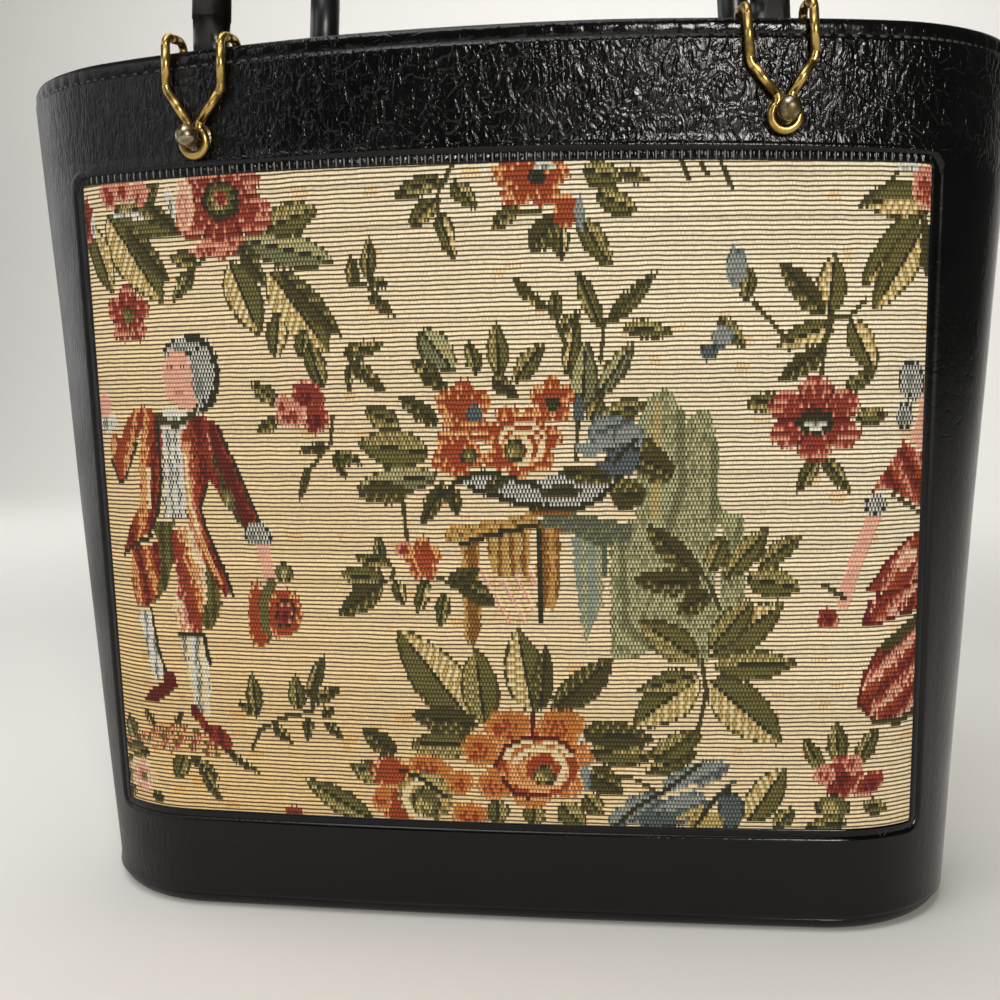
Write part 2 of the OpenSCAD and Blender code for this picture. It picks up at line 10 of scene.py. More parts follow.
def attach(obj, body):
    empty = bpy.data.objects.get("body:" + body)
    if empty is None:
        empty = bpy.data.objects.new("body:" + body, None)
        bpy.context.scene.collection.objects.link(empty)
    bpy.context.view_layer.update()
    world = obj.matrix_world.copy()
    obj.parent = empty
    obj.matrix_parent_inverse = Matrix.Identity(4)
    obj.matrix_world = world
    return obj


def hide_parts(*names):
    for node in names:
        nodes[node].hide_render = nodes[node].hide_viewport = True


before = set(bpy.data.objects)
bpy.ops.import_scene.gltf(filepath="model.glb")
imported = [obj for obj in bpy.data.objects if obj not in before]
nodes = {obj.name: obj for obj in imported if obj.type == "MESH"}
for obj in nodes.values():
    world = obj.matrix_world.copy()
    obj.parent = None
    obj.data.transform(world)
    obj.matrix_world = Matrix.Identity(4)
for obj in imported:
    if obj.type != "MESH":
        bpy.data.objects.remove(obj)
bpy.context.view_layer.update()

MM = 0.001
WELD = 0.001 * MM

# The wall: ovals of four arcs at the base and at the mouth, as width, depth and end radius
BODY_H = 247 * MM
BASE_OVAL = (264 * MM, 87 * MM, 42 * MM)
MOUTH_OVAL = (296 * MM, 138 * MM, 56 * MM)
BASE_EDGE = 4 * MM
VINYL_T = 0.9 * MM
FACING_IN = 2.8 * MM
WALL_T = 3.4 * MM
LIP_H = 5 * MM
FACING_H = 36 * MM
LINING_LOW = 5.0 * MM
SEAM_GAP = 0.2 * MM
# Places round the wall: 0 in the middle of the front, 1 where its arcs meet, TIP at the end, ROUND in all
TIP = 2
ROUND = 8
# The surface maps are shifted along the wall, so that their values stay above zero
MAP_SHIFT = 0.5

# The tapestry window, measured along the wall and up from the floor
CLOTH_HALF = 119 * MM
CLOTH_LOW = 31 * MM
CLOTH_HIGH = 213 * MM
BINDING_W = 3.2 * MM
CORNER_R = 5 * MM
INNER_CORNER_R = 0.5 * MM
# The window's upper edge runs a little off level, higher at its left end
TOP_TILT = 1.5 * MM
WINDOW_MID = (CLOTH_LOW + CLOTH_HIGH) / 2
WINDOW_HALF = (CLOTH_HIGH - CLOTH_LOW) / 2

# The cloth is cut larger than the window and tucked under the binding
TUCK = 2 * MM
RIB = 1.22 * MM
STITCH = 0.48 * MM
CLOTH_IN = 0.25 * MM


def front_radius(width, depth, end):
    return ((width / 2 - end) ** 2 + (depth / 2) ** 2 - end ** 2) / (depth - 2 * end)


def joint_angle(width, depth, end):
    return math.atan2(width / 2 - end, front_radius(width, depth, end) - depth / 2)


def oval(size, place, inset):
    """Points of an oval's front half, at places from the front's middle to the end's tip"""
    width, depth, end = size[0] - 2 * inset, size[1] - 2 * inset, size[2] - inset
    wide = front_radius(*size) - inset
    joint = joint_angle(*size)
    far = np.abs(place)
    turn = np.where(far < 1, joint * far, joint + (math.pi / 2 - joint) * (far - 1))
    x = np.where(far < 1, wide * np.sin(turn), width / 2 - end + end * np.sin(turn))
    y = np.where(far < 1, wide - depth / 2 - wide * np.cos(turn), -end * np.cos(turn))
    return np.sign(place) * x, y


def wall(place, z, inset):
    """Points of the wall at a height and a depth under the skin's face. Places past TIP go round the back"""
    place = (np.asarray(place) + TIP) % ROUND - TIP
    behind = place > TIP
    front_place = np.where(behind, 2 * TIP - place, place)
    low_x, low_y = oval(BASE_OVAL, front_place, inset)
    high_x, high_y = oval(MOUTH_OVAL, front_place, inset)
    share = z / BODY_H
    x = low_x + (high_x - low_x) * share
    y = low_y + (high_y - low_y) * share
    return np.stack([x, np.where(behind, -y, y), z + 0 * x], axis=-1)


def front_length(z):
    low = front_radius(*BASE_OVAL) * joint_angle(*BASE_OVAL)
    high = front_radius(*MOUTH_OVAL) * joint_angle(*MOUTH_OVAL)
    return low + (high - low) * z / BODY_H


def end_length(z):
    low = BASE_OVAL[2] * (math.pi / 2 - joint_angle(*BASE_OVAL))
    high = MOUTH_OVAL[2] * (math.pi / 2 - joint_angle(*MOUTH_OVAL))
    return low + (high - low) * z / BODY_H


def half_length(z):
    return front_length(z) + end_length(z)


def on_skin(along, z, inset):
    """Points of the front wall that lie a distance along it from the middle of the front"""
    far, front = np.abs(along), front_length(z)
    place = np.where(far < front, far / front, 1 + (far - front) / end_length(z))
    return wall(np.sign(along) * place, z, inset)


def sunk(face, under, share):
    """Points that lie a share of the way from a face to the one under it"""
    return face + (under - face) * share[:, None]


def lifted(along, z, inset):
    """Points on the front wall, each at its own depth under the skin's face"""
    return sunk(on_skin(along, z, 0.0), on_skin(along, z, WALL_T), inset / WALL_T)


def ramp(x, start, width):
    """Rises from 0 to 1 over a width"""
    return np.clip((x - start) / width, 0, 1)


def surface_map(along, up):
    return np.stack([along + MAP_SHIFT, up], axis=-1)


def laid_grid(columns, rows, lay, rear=False, closed=False):
    """A grid of quads. Lay turns its two shares, each from 0 to 1, into points and a surface map in metres"""
    bm = bmesh.new()
    bmesh.ops.create_grid(bm, x_segments=columns, y_segments=rows, size=0.5)
    bm.verts.index_update()
    shares = np.array([v.co[:2] for v in bm.verts]) + 0.5
    points, spread = lay(shares[:, 0], shares[:, 1])
    if rear:
        points = points * (-1, -1, 1)
    surface = bm.loops.layers.uv.new("surface")
    for face in bm.faces:
        for loop in face.loops:
            loop[surface].uv = spread[loop.vert.index]
    for vert, point in zip(bm.verts, points):
        vert.co = point
    if closed:
        bmesh.ops.remove_doubles(bm, verts=bm.verts[:], dist=WELD)
        bmesh.ops.dissolve_degenerate(bm, edges=bm.edges[:], dist=WELD)
    return bm


def add_object(name, bm, finish):
    mesh = bpy.data.meshes.new(name)
    bm.to_mesh(mesh)
    bm.free()
    mesh.polygons.foreach_set("use_smooth", [True] * len(mesh.polygons))
    mesh.materials.append(finish)
    made = bpy.data.objects.new(name, mesh)
    bpy.context.scene.collection.objects.link(made)
    return made


def add_piece(name, bm, body, finish, stands_for=()):
    piece = add_object(name, bm, finish)
    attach(piece, body)
    if stands_for:
        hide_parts(*stands_for)
    return piece


# Materials
def linear(code):
    """An sRGB hex colour as linear values"""
    channels = [int(code[i:i + 2], 16) / 255 for i in (1, 3, 5)]
    return [c / 12.92 if c <= 0.04045 else ((c + 0.055) / 1.055) ** 2.4 for c in channels] + [1.0]


def feed(tree, node, settings=None, links=None):
    """Gives a node its settings, as attributes or input values, and links what feeds its inputs"""
    for key, value in (settings or {}).items():
        if isinstance(key, str) and key not in node.inputs:
            setattr(node, key, value)
        else:
            node.inputs[key].default_value = value
    for key, socket in (links or {}).items():
        tree.links.new(socket, node.inputs[key])
    return node


def add(tree, kind, settings=None, links=None):
    return feed(tree, tree.nodes.new(kind), settings, links)


def start_material(name):
    made = bpy.data.materials.new(name)
    made.use_nodes = True
    return made, made.node_tree, made.node_tree.nodes["Principled BSDF"]


# Socket numbers of a range and of a colour mix, whose sockets share their names
VALUE, FROM_LOW, FROM_HIGH, TO_LOW, TO_HIGH = range(5)
SHARE, FIRST, SECOND = 0, 6, 7
MIXED = 2

# Black vinyl, cast on a crackle-grained paper: black with thin glinting creases, close and wandering on
# the top band, and with long fine wrinkles up the wall at its left end, where the sheet is satin grey
TOP_BAND = (208 * MM, 219 * MM)
RIM_ROLL = (241.5 * MM, 242.5 * MM)
LEFT_END = (MAP_SHIFT - 105 * MM, MAP_SHIFT - 50 * MM)
# Creases: width, length, how far they reach from their middle line as a share, and depth as a share
CREASES = (
    (5.2 * MM, 7.5 * MM, 0.09, 1.7),
    (2.8 * MM, 4.4 * MM, 0.11, 0.8),
    (1.3 * MM, 9 * MM, 0.1, 0.8),
)
WRINKLE_W = 1.5 * MM
CREASE_LEAN = 0.2
CREASE_H = 0.075 * MM
SCUFF = 22 * MM


def grained_vinyl():
    made, tree, shader = start_material("crackle_grained_vinyl")
    surface = add(tree, "ShaderNodeUVMap", {"uv_map": "surface"})
    split = add(tree, "ShaderNodeSeparateXYZ", None, {0: surface.outputs[0]})
    top = add(tree, "ShaderNodeMapRange",
              {"interpolation_type": "SMOOTHSTEP", FROM_LOW: TOP_BAND[0], FROM_HIGH: TOP_BAND[1],
               TO_LOW: 0.16, TO_HIGH: 1.0}, {VALUE: split.outputs[1]})
    left = add(tree, "ShaderNodeMapRange",
               {"interpolation_type": "SMOOTHSTEP", FROM_LOW: LEFT_END[0], FROM_HIGH: LEFT_END[1],
                TO_LOW: 1.0, TO_HIGH: 0.0}, {VALUE: split.outputs[0]})
    crackled = add(tree, "ShaderNodeMapRange", {TO_LOW: 1.0, TO_HIGH: 0.3}, {VALUE: left.outputs[0]})
    wrinkled = add(tree, "ShaderNodeMapRange", {TO_LOW: 0.35, TO_HIGH: 1.0}, {VALUE: left.outputs[0]})
    creased = add(tree, "ShaderNodeMath", {"operation": "MULTIPLY_ADD", 1: 0.5},
                  {0: left.outputs[0], 2: top.outputs[0]})
    rolled = add(tree, "ShaderNodeMapRange",
                 {FROM_LOW: RIM_ROLL[0], FROM_HIGH: RIM_ROLL[1], TO_LOW: 1.0, TO_HIGH: 0.45},
                 {VALUE: split.outputs[1]})
    creased = add(tree, "ShaderNodeMath", {"operation": "MULTIPLY"},
                  {0: creased.outputs[0], 1: rolled.outputs[0]})
    height = None
    for width, length, reach, depth in CREASES:
        stretched = add(tree, "ShaderNodeMapping",
                        {"Scale": (1 / width, 1 / length, 1), "Rotation": (0, 0, CREASE_LEAN)},
                        {"Vector": surface.outputs[0]})
        wander = add(tree, "ShaderNodeTexNoise", {"Scale": 1.0, "Detail": 2.0, "Distortion": 0.6},
                     {"Vector": stretched.outputs[0]})
        off = add(tree, "ShaderNodeMath", {"operation": "SUBTRACT", 1: 0.5}, {0: wander.outputs["Fac"]})
        away = add(tree, "ShaderNodeMath", {"operation": "ABSOLUTE"}, {0: off.outputs[0]})
        fold = add(tree, "ShaderNodeMapRange",
                   {"interpolation_type": "SMOOTHSTEP", FROM_LOW: 0.0, FROM_HIGH: reach, TO_HIGH: depth},
                   {VALUE: away.outputs[0]})
        kind = crackled if width > WRINKLE_W else wrinkled
        fold = add(tree, "ShaderNodeMath", {"operation": "MULTIPLY"},
                   {0: fold.outputs[0], 1: kind.outputs[0]})
        height = fold.outputs[0] if height is None else add(
            tree, "ShaderNodeMath", {"operation": "ADD"}, {0: fold.outputs[0], 1: height}).outputs[0]
    graded = add(tree, "ShaderNodeMath", {"operation": "MULTIPLY"}, {0: height, 1: creased.outputs[0]})
    bump = add(tree, "ShaderNodeBump", {"Strength": 1.0, "Distance": CREASE_H},
               {"Height": graded.outputs[0]})
    scuff = add(tree, "ShaderNodeTexNoise", {"Scale": 1 / SCUFF, "Detail": 4.0},
                {"Vector": surface.outputs[0]})
    gloss = add(tree, "ShaderNodeMapRange", {FROM_LOW: 0.35, FROM_HIGH: 0.7, TO_LOW: 0.14, TO_HIGH: 0.24},
                {VALUE: scuff.outputs["Fac"]})
    rough = add(tree, "ShaderNodeMath", {"operation": "MULTIPLY_ADD", 1: 0.2},
                {0: left.outputs[0], 2: gloss.outputs[0]})
    tint = add(tree, "ShaderNodeMix",
               {"data_type": "RGBA", FIRST: linear("#040404"), SECOND: linear("#0A0A0A")},
               {SHARE: scuff.outputs["Fac"]})
    feed(tree, shader, {"IOR": 1.35},
         {"Base Color": tint.outputs[MIXED], "Roughness": rough.outputs[0], "Normal": bump.outputs[0]})
    return made


# Smooth black vinyl drawn over a tube: glossy, with a faint ripple
def tube_vinyl():
    made, tree, shader = start_material("smooth_tube_vinyl")
    ripple_l, ripple_h = 6 * MM, 0.4 * MM
    where = add(tree, "ShaderNodeTexCoord")
    ripple = add(tree, "ShaderNodeTexNoise", {"Scale": 1 / ripple_l, "Detail": 3.0},
                 {"Vector": where.outputs["Object"]})
    bump = add(tree, "ShaderNodeBump", {"Strength": 0.25, "Distance": ripple_h},
               {"Height": ripple.outputs["Fac"]})
    rough = add(tree, "ShaderNodeMapRange", {TO_LOW: 0.24, TO_HIGH: 0.4}, {VALUE: ripple.outputs["Fac"]})
    tint = add(tree, "ShaderNodeMix",
               {"data_type": "RGBA", FIRST: linear("#0A0A0B"), SECOND: linear("#141415")},
               {SHARE: ripple.outputs["Fac"]})
    feed(tree, shader, {"IOR": 1.5},
         {"Base Color": tint.outputs[MIXED], "Roughness": rough.outputs[0], "Normal": bump.outputs[0]})
    return made


# Cotton tapestry: cord-like ribs from side to side, with painted shade in the grooves between them, less of
# it where the figures are, and single stitches that show where the figures are
def rib_tapestry():
    made, tree, shader = start_material("rib_woven_tapestry")
    pull_l, pull_h, rib_h = 7 * MM, 0.5 * RIB, 0.3 * MM
    surface = add(tree, "ShaderNodeUVMap", {"uv_map": "surface"})
    thread = add(tree, "ShaderNodeAttribute", {"attribute_name": "thread"})
    pull = add(tree, "ShaderNodeTexNoise", {"Scale": 1 / pull_l, "Detail": 3.0},
               {"Vector": surface.outputs[0]})
    sway = add(tree, "ShaderNodeVectorMath", {"operation": "MULTIPLY_ADD", 1: (0, pull_h, 0)},
               {0: pull.outputs["Color"], 2: surface.outputs[0]})
    split = add(tree, "ShaderNodeSeparateXYZ", None, {0: sway.outputs[0]})
    across = add(tree, "ShaderNodeMath", {"operation": "DIVIDE", 1: STITCH}, {0: split.outputs[0]})
    upward = add(tree, "ShaderNodeMath", {"operation": "DIVIDE", 1: RIB}, {0: split.outputs[1]})
    rib_share = add(tree, "ShaderNodeMath", {"operation": "FRACT"}, {0: upward.outputs[0]})
    off_mid = add(tree, "ShaderNodeMath", {"operation": "SUBTRACT", 1: 0.5}, {0: rib_share.outputs[0]})
    away = add(tree, "ShaderNodeMath", {"operation": "ABSOLUTE"}, {0: off_mid.outputs[0]})
    groove = add(tree, "ShaderNodeMapRange",
                 {"interpolation_type": "SMOOTHSTEP", FROM_LOW: 0.17, FROM_HIGH: 0.46},
                 {VALUE: away.outputs[0]})
    # Painted shade in the grooves between the ribs: the thread colour is multiplied towards a dark brown
    # there, at full strength on the ground and less on the figures
    depth = add(tree, "ShaderNodeMapRange", {TO_LOW: 1.0, TO_HIGH: 0.6}, {VALUE: thread.outputs["Alpha"]})
    painted_groove_shade = add(tree, "ShaderNodeMath", {"operation": "MULTIPLY"},
                      {0: groove.outputs[0], 1: depth.outputs[0]})
    colour = add(tree, "ShaderNodeMix",
                 {"data_type": "RGBA", "blend_type": "MULTIPLY", SECOND: linear("#50422F")},
                 {SHARE: painted_groove_shade.outputs[0], FIRST: thread.outputs["Color"]})
    stitch_share = add(tree, "ShaderNodeMath", {"operation": "PINGPONG", 1: 0.5}, {0: across.outputs[0]})
    stitch_h = add(tree, "ShaderNodeMath", {"operation": "MULTIPLY"},
                   {0: stitch_share.outputs[0], 1: thread.outputs["Alpha"]})
    height = add(tree, "ShaderNodeMath", {"operation": "SUBTRACT"},
                 {0: stitch_h.outputs[0], 1: groove.outputs[0]})
    bump = add(tree, "ShaderNodeBump", {"Strength": 0.7, "Distance": rib_h}, {"Height": height.outputs[0]})
    feed(tree, shader, {"Roughness": 0.85, "Specular IOR Level": 0.25},
         {"Base Color": colour.outputs[MIXED], "Normal": bump.outputs[0]})
    return made


# Plain woven lining: a matt brown cloth with a fine even weave, drawn at 0.9 mm so that it shows
def woven_lining():
    made, tree, shader = start_material("plain_woven_lining")
    thread, slub_l, weave_h = 0.9 * MM, 9 * MM, 0.2 * MM
    surface = add(tree, "ShaderNodeUVMap", {"uv_map": "surface"})
    weave = add(tree, "ShaderNodeTexChecker",
                {"Scale": 1 / thread, "Color1": linear("#4B3B2A"), "Color2": linear("#3B2D20")},
                {"Vector": surface.outputs[0]})
    slub = add(tree, "ShaderNodeTexNoise", {"Scale": 1 / slub_l, "Detail": 4.0},
               {"Vector": surface.outputs[0]})
    colour = add(tree, "ShaderNodeMix",
                 {"data_type": "RGBA", "blend_type": "MULTIPLY", SECOND: linear("#A89A88")},
                 {SHARE: slub.outputs["Fac"], FIRST: weave.outputs["Color"]})
    bump = add(tree, "ShaderNodeBump", {"Strength": 0.3, "Distance": weave_h},
               {"Height": weave.outputs["Fac"]})
    feed(tree, shader, {"Roughness": 0.9},
         {"Base Color": colour.outputs[MIXED], "Normal": bump.outputs[0]})
    return made


# Pressed paperboard: matt, flecked with fibres
def pressed_board():
    made, tree, shader = start_material("pressed_paperboard")
    fibre_l = 1.5 * MM
    where = add(tree, "ShaderNodeTexCoord")
    fibre = add(tree, "ShaderNodeTexNoise", {"Scale": 1 / fibre_l, "Detail": 4.0},
                {"Vector": where.outputs["Object"]})
    colour = add(tree, "ShaderNodeMix",
                 {"data_type": "RGBA", FIRST: linear("#7A6A55"), SECOND: linear("#9A8A72")},
                 {SHARE: fibre.outputs["Fac"]})
    feed(tree, shader, {"Roughness": 0.9}, {"Base Color": colour.outputs[MIXED]})
    return made


# Drawn brass wire, polished and then handled: bright gold with brown tarnish in patches
def polished_brass():
    made, tree, shader = start_material("polished_brass_wire")
    tarnish_l = 7 * MM
    where = add(tree, "ShaderNodeTexCoord")
    tarnish = add(tree, "ShaderNodeTexNoise", {"Scale": 1 / tarnish_l, "Detail": 5.0, "Roughness": 0.6},
                  {"Vector": where.outputs["Object"]})
    patch = add(tree, "ShaderNodeMapRange",
                {"interpolation_type": "SMOOTHSTEP", FROM_LOW: 0.5, FROM_HIGH: 0.68},
                {VALUE: tarnish.outputs["Fac"]})
    colour = add(tree, "ShaderNodeMix",
                 {"data_type": "RGBA", FIRST: linear("#BD9F5C"), SECOND: linear("#775F38")},
                 {SHARE: patch.outputs[0]})
    rough = add(tree, "ShaderNodeMapRange", {TO_LOW: 0.28, TO_HIGH: 0.48}, {VALUE: patch.outputs[0]})
    feed(tree, shader, {"Metallic": 1.0},
         {"Base Color": colour.outputs[MIXED], "Roughness": rough.outputs[0]})
    return made


# Plated brass studs: a thin grey plating worn through to dull brass
def worn_plating():
    made, tree, shader = start_material("worn_plated_brass")
    wear_l = 3 * MM
    where = add(tree, "ShaderNodeTexCoord")
    wear = add(tree, "ShaderNodeTexNoise", {"Scale": 1 / wear_l, "Detail": 5.0},
               {"Vector": where.outputs["Object"]})
    patch = add(tree, "ShaderNodeMapRange",
                {"interpolation_type": "SMOOTHSTEP", FROM_LOW: 0.4, FROM_HIGH: 0.62},
                {VALUE: wear.outputs["Fac"]})
    colour = add(tree, "ShaderNodeMix",
                 {"data_type": "RGBA", FIRST: linear("#9E9684"), SECOND: linear("#6B5C3A")},
                 {SHARE: patch.outputs[0]})
    rough = add(tree, "ShaderNodeMapRange", {TO_LOW: 0.2, TO_HIGH: 0.45}, {VALUE: patch.outputs[0]})
    feed(tree, shader, {"Metallic": 1.0},
         {"Base Color": colour.outputs[MIXED], "Roughness": rough.outputs[0]})
    return made


# Waxed sewing thread: twisted plies with a soft sheen. The lighter crown tone is a painted highlight, laid in
# small random patches over the thread's own colour
def waxed_thread(name, hollow, crown_highlight):
    made, tree, shader = start_material(name)
    ply_l = 0.4 * MM
    where = add(tree, "ShaderNodeTexCoord")
    ply = add(tree, "ShaderNodeTexNoise", {"Scale": 1 / ply_l, "Detail": 2.0},
              {"Vector": where.outputs["Object"]})
    colour = add(tree, "ShaderNodeMix",
                 {"data_type": "RGBA", FIRST: linear(hollow), SECOND: linear(crown_highlight)},
                 {SHARE: ply.outputs["Fac"]})
    feed(tree, shader, {"Roughness": 0.42}, {"Base Color": colour.outputs[MIXED]})
    return made


VINYL = grained_vinyl()
TUBE = tube_vinyl()
TAPESTRY = rib_tapestry()
LINING = woven_lining()
BOARD = pressed_board()
BRASS = polished_brass()
PLATED = worn_plating()
# The black thread's lighter crown tone is a painted highlight, so that its stitches show against the black
# vinyl
BLACK_THREAD = waxed_thread("waxed_black_thread", "#141414", "#3A3937")
# Painted glint: the pale grey of the edge's stitches stands in for light caught on the ridges over the
# window's top edge
GLINT_GREY_THREAD = waxed_thread("grey_thread_painted_glint", "#4A4946", "#85837E")

# The cloth's threads: each tone is the pair of colours that its stitches show in turn
TONES = {
    "ground": ("#EFE3C6", "#E9DBB9"),
    "slub": ("#E6BF86", "#EADCBA"),
    "night": ("#2A2A1E", "#3B3824"),
    "moss": ("#3C381E", "#544D2A"),
    "olive": ("#4E4927", "#77703F"),
    "fleck": ("#5C5329", "#A3955C"),
    "straw": ("#8A7A40", "#CDBB80"),
    "gold": ("#9C8242", "#CFB878"),
    "cream": ("#EEDDB4", "#E2C792"),
    "sage": ("#74764E", "#C4BE92"),
    "sage_deep": ("#4F5136", "#8E8C64"),
    "red": ("#93402F", "#7A2E22"),
    "crimson": ("#6E2620", "#54221A"),
    "coral": ("#BE6550", "#DBA284"),
    "rust": ("#A84E2C", "#86391E"),
    "orange": ("#C8783C", "#E4B87C"),
    "amber": ("#B0602A", "#C98442"),
    "pink": ("#DD9680", "#EBC9AA"),
    "white": ("#E9E3D2", "#C9C6B8"),
    "hatch": ("#D8D5C8", "#3A3C36"),
    "grey": ("#A6A69A", "#5A5B54"),
    "blue": ("#6B7472", "#A0A296"),
    "slate": ("#3C4242", "#666F6E"),
    "teal": ("#74806F", "#9CA391"),
    "stone": ("#4B4F42", "#6B6E58"),
    "brown": ("#6A4420", "#96682F"),
    "ochre": ("#B08342", "#C9A060"),
    "flesh": ("#E29C86", "#E8BBA0"),
}
TONE_NAMES = list(TONES)

ribs = round((CLOTH_HIGH - CLOTH_LOW + 2 * TUCK) / RIB)
stitches = round(2 * (CLOTH_HALF + TUCK) / STITCH)
CLOTH_W = stitches * STITCH
CLOTH_H = ribs * RIB
cloth_base = WINDOW_MID - CLOTH_H / 2
# The pattern is drawn in millimetres: along the wall from the middle of the front, and up from the floor
rib_z = (cloth_base + (np.arange(ribs) + 0.5) * RIB) / MM
stitch_x = ((np.arange(stitches) + 0.5) / stitches - 0.5) * CLOTH_W / MM
X, Z = np.meshgrid(stitch_x, rib_z)
rng = np.random.default_rng(7)
ragged = rng.uniform(-1, 1, X.shape)
# Light edges are streaked: most of their stitches lie on every other rib
STREAK_SHARE = 0.7
streaked = ragged + STREAK_SHARE * np.where(np.arange(ribs) % 2, 1, -1)[:, None] > 0
tones = np.zeros(X.shape, dtype=int)


# How the figures are woven, in millimetres: a leaf's hatching, vein and dark edges, and the lines of thread
HATCH_PITCH, HATCH_W, HATCH_SLANT = 2.7, 1.0, 0.8
LIT_FROM = 0.25
VEIN_HALF, VEIN_SHARE = 0.4, 0.85
SHADE_EDGE, LIT_EDGE = 0.9, 0.6
OUTLINE_W = 0.9
STEM_W = 1.2
STREAK_W = 1.3
# How far stitches stray over an edge, in millimetres or as a share of the shape's size
LEAF_FRAY, ARC_FRAY, LINE_FRAY, FIELD_FRAY = 0.3, 0.25, 0.15, 0.35
PETAL_FRAY_SHARE, FLOWER_FRAY_SHARE, STRIPE_FRAY_SHARE = 0.09, 0.06, 0.14
# A leaf is widest a little below its middle, and full
LEAF_LEAN, LEAF_FULLNESS = 0.85, 0.7
# A petal's shade and edge, as shares of its size. A mottled tone takes the stitches that are drawn above its
# limit, from -1 to 1
SHADE_LEFT_SHARE, SHADE_DOWN_SHARE, SHADE_SHARE, SHADE_MOTTLE = 0.15, 0.2, 0.55, -0.2
PETAL_EDGE_SHARE = 0.8
SPECKLE_FROM = 0.5
# A flower's outline, edge, veins, folds and heart, as shares of its size
WAIST_SHARE, LOBE_SHARE, LOBE_FULLNESS = 0.66, 0.34, 0.6
FLOWER_EDGE_SHARE = 0.72
VEIN_IN_SHARE, VEIN_OUT_SHARE, LOBE_VEINS, VEIN_CUT, VEIN_MOTTLE = 0.4, 0.8, 3, 0.75, -0.3
FOLD_SHARE, FOLD_CUT = 0.97, 0.16
HEART_SHARE, HEART_MOTTLE = 0.34, -0.4


def fill(mask, tone):
    tones[mask] = TONE_NAMES.index(tone)


def leaf(style, root_x, root_z, tip_x, tip_z, width):
    """A leaf from root to tip. Its left half is light, or its right half where width is negative"""
    dark, light, hatch = LEAF_TONES[style]
    dx, dz = tip_x - root_x, tip_z - root_z
    run = math.hypot(dx, dz)
    along = ((X - root_x) * dx + (Z - root_z) * dz) / run ** 2
    across = (dx * (Z - root_z) - dz * (X - root_x)) / run * math.copysign(1, width)
    belly = np.sin(math.pi * np.clip(along, 0, 1) ** LEAF_LEAN) ** LEAF_FULLNESS
    half = abs(width) / 2 * belly + LEAF_FRAY * ragged
    inside = (np.abs(across) < half) & (along > 0) & (along < 1)
    lit = inside & (across > LIT_FROM)
    fill(inside, dark)
    fill(lit, light)
    fill(lit & ((along * run - across * HATCH_SLANT) % HATCH_PITCH < HATCH_W), hatch)
    fill(inside & (np.abs(across) < VEIN_HALF) & (along < VEIN_SHARE), "night")
    fill(inside & (across < 0) & (half + across < SHADE_EDGE), "moss")
    fill(lit & (half - across < LIT_EDGE), "moss")


def petal(style, x, z, across, up, turn=0):
    """A petal or other round patch: its body, a streaked light edge and a mottled shade low on its left"""
    edge, body, shade = PETAL_TONES[style]
    c, s = math.cos(math.radians(turn)), math.sin(math.radians(turn))
    right, upward = (X - x) * c + (Z - z) * s, (Z - z) * c - (X - x) * s
    reach = np.hypot(right / across, upward / up) + PETAL_FRAY_SHARE * ragged
    low_right, low_up = right + SHADE_LEFT_SHARE * across, upward + SHADE_DOWN_SHARE * up
    lower = np.hypot(low_right / across, low_up / up)
    fill(reach < 1, body)
    fill((lower < SHADE_SHARE) & (ragged > SHADE_MOTTLE), shade)
    fill((reach < 1) & (reach > PETAL_EDGE_SHARE) & streaked, edge)


def flower(style, x, z, across, up, lobes, turn):
    """An open flower: petals that run together, with light streaked tips and dark folds between them"""
    edge, body, shade = PETAL_TONES[style]
    right, upward = (X - x) / across, (Z - z) / up
    angle = np.arctan2(upward, right) - math.radians(turn)
    lobe = np.abs(np.cos(lobes * angle / 2))
    outline = WAIST_SHARE + LOBE_SHARE * lobe ** LOBE_FULLNESS
    share = np.hypot(right, upward) / outline + FLOWER_FRAY_SHARE * ragged
    veined = (np.sin(lobes * LOBE_VEINS * angle) > VEIN_CUT) & (ragged > VEIN_MOTTLE)
    fill(share < 1, body)
    fill((share < 1) & (share > FLOWER_EDGE_SHARE) & streaked, edge)
    fill((share < VEIN_OUT_SHARE) & (share > VEIN_IN_SHARE) & veined, edge)
    fill((share < FOLD_SHARE) & (lobe < FOLD_CUT) | (share < HEART_SHARE) & (ragged > HEART_MOTTLE), shade)


def arc(tone, x, z, across, up, start, sweep, width):
    """A curved band of thread round a middle, from an angle and for a sweep in degrees"""
    right, upward = (X - x) / across, (Z - z) / up
    swept = (np.degrees(np.arctan2(upward, right)) - start) % 360 < sweep
    off = np.abs(np.hypot(right, upward) - 1) * min(across, up)
    fill(swept & (off < width / 2 + ARC_FRAY * ragged), tone)


def stroke(tone, width, *points):
    """A line of thread through points"""
    for (ax, az), (bx, bz) in zip(points[:-1], points[1:]):
        dx, dz = bx - ax, bz - az
        share = np.clip(((X - ax) * dx + (Z - az) * dz) / (dx * dx + dz * dz), 0, 1)
        fill(np.hypot(X - ax - share * dx, Z - az - share * dz) < width / 2 + LINE_FRAY * ragged, tone)


def within(points):
    inside = np.zeros(X.shape, dtype=bool)
    edge_x = X + FIELD_FRAY * ragged
    for (ax, az), (bx, bz) in zip(points, points[1:] + points[:1]):
        crosses = (az > Z) != (bz > Z)
        rise = bz - az if bz != az else 1
        inside ^= crosses & (edge_x < (bx - ax) * (Z - az) / rise + ax)
    return inside


def patch(tone, *points, stripes=None, pitch=2.0, slant=0.0, speckle=None, outline=None):
    """A field of one tone, or of soft stripes, with stray stitches and an outline where it has them"""
    area = within(list(points))
    fill(area, tone)
    if speckle:
        fill(area & (ragged > SPECKLE_FROM), speckle)
    if stripes:
        phase = ((X + slant * Z) / pitch + STRIPE_FRAY_SHARE * ragged) % 1
        for k, stripe in enumerate(stripes):
            fill(area & (phase >= k / len(stripes)) & (phase < (k + 1) / len(stripes)), stripe)
    if outline:
        stroke(outline, OUTLINE_W, *points, points[0])


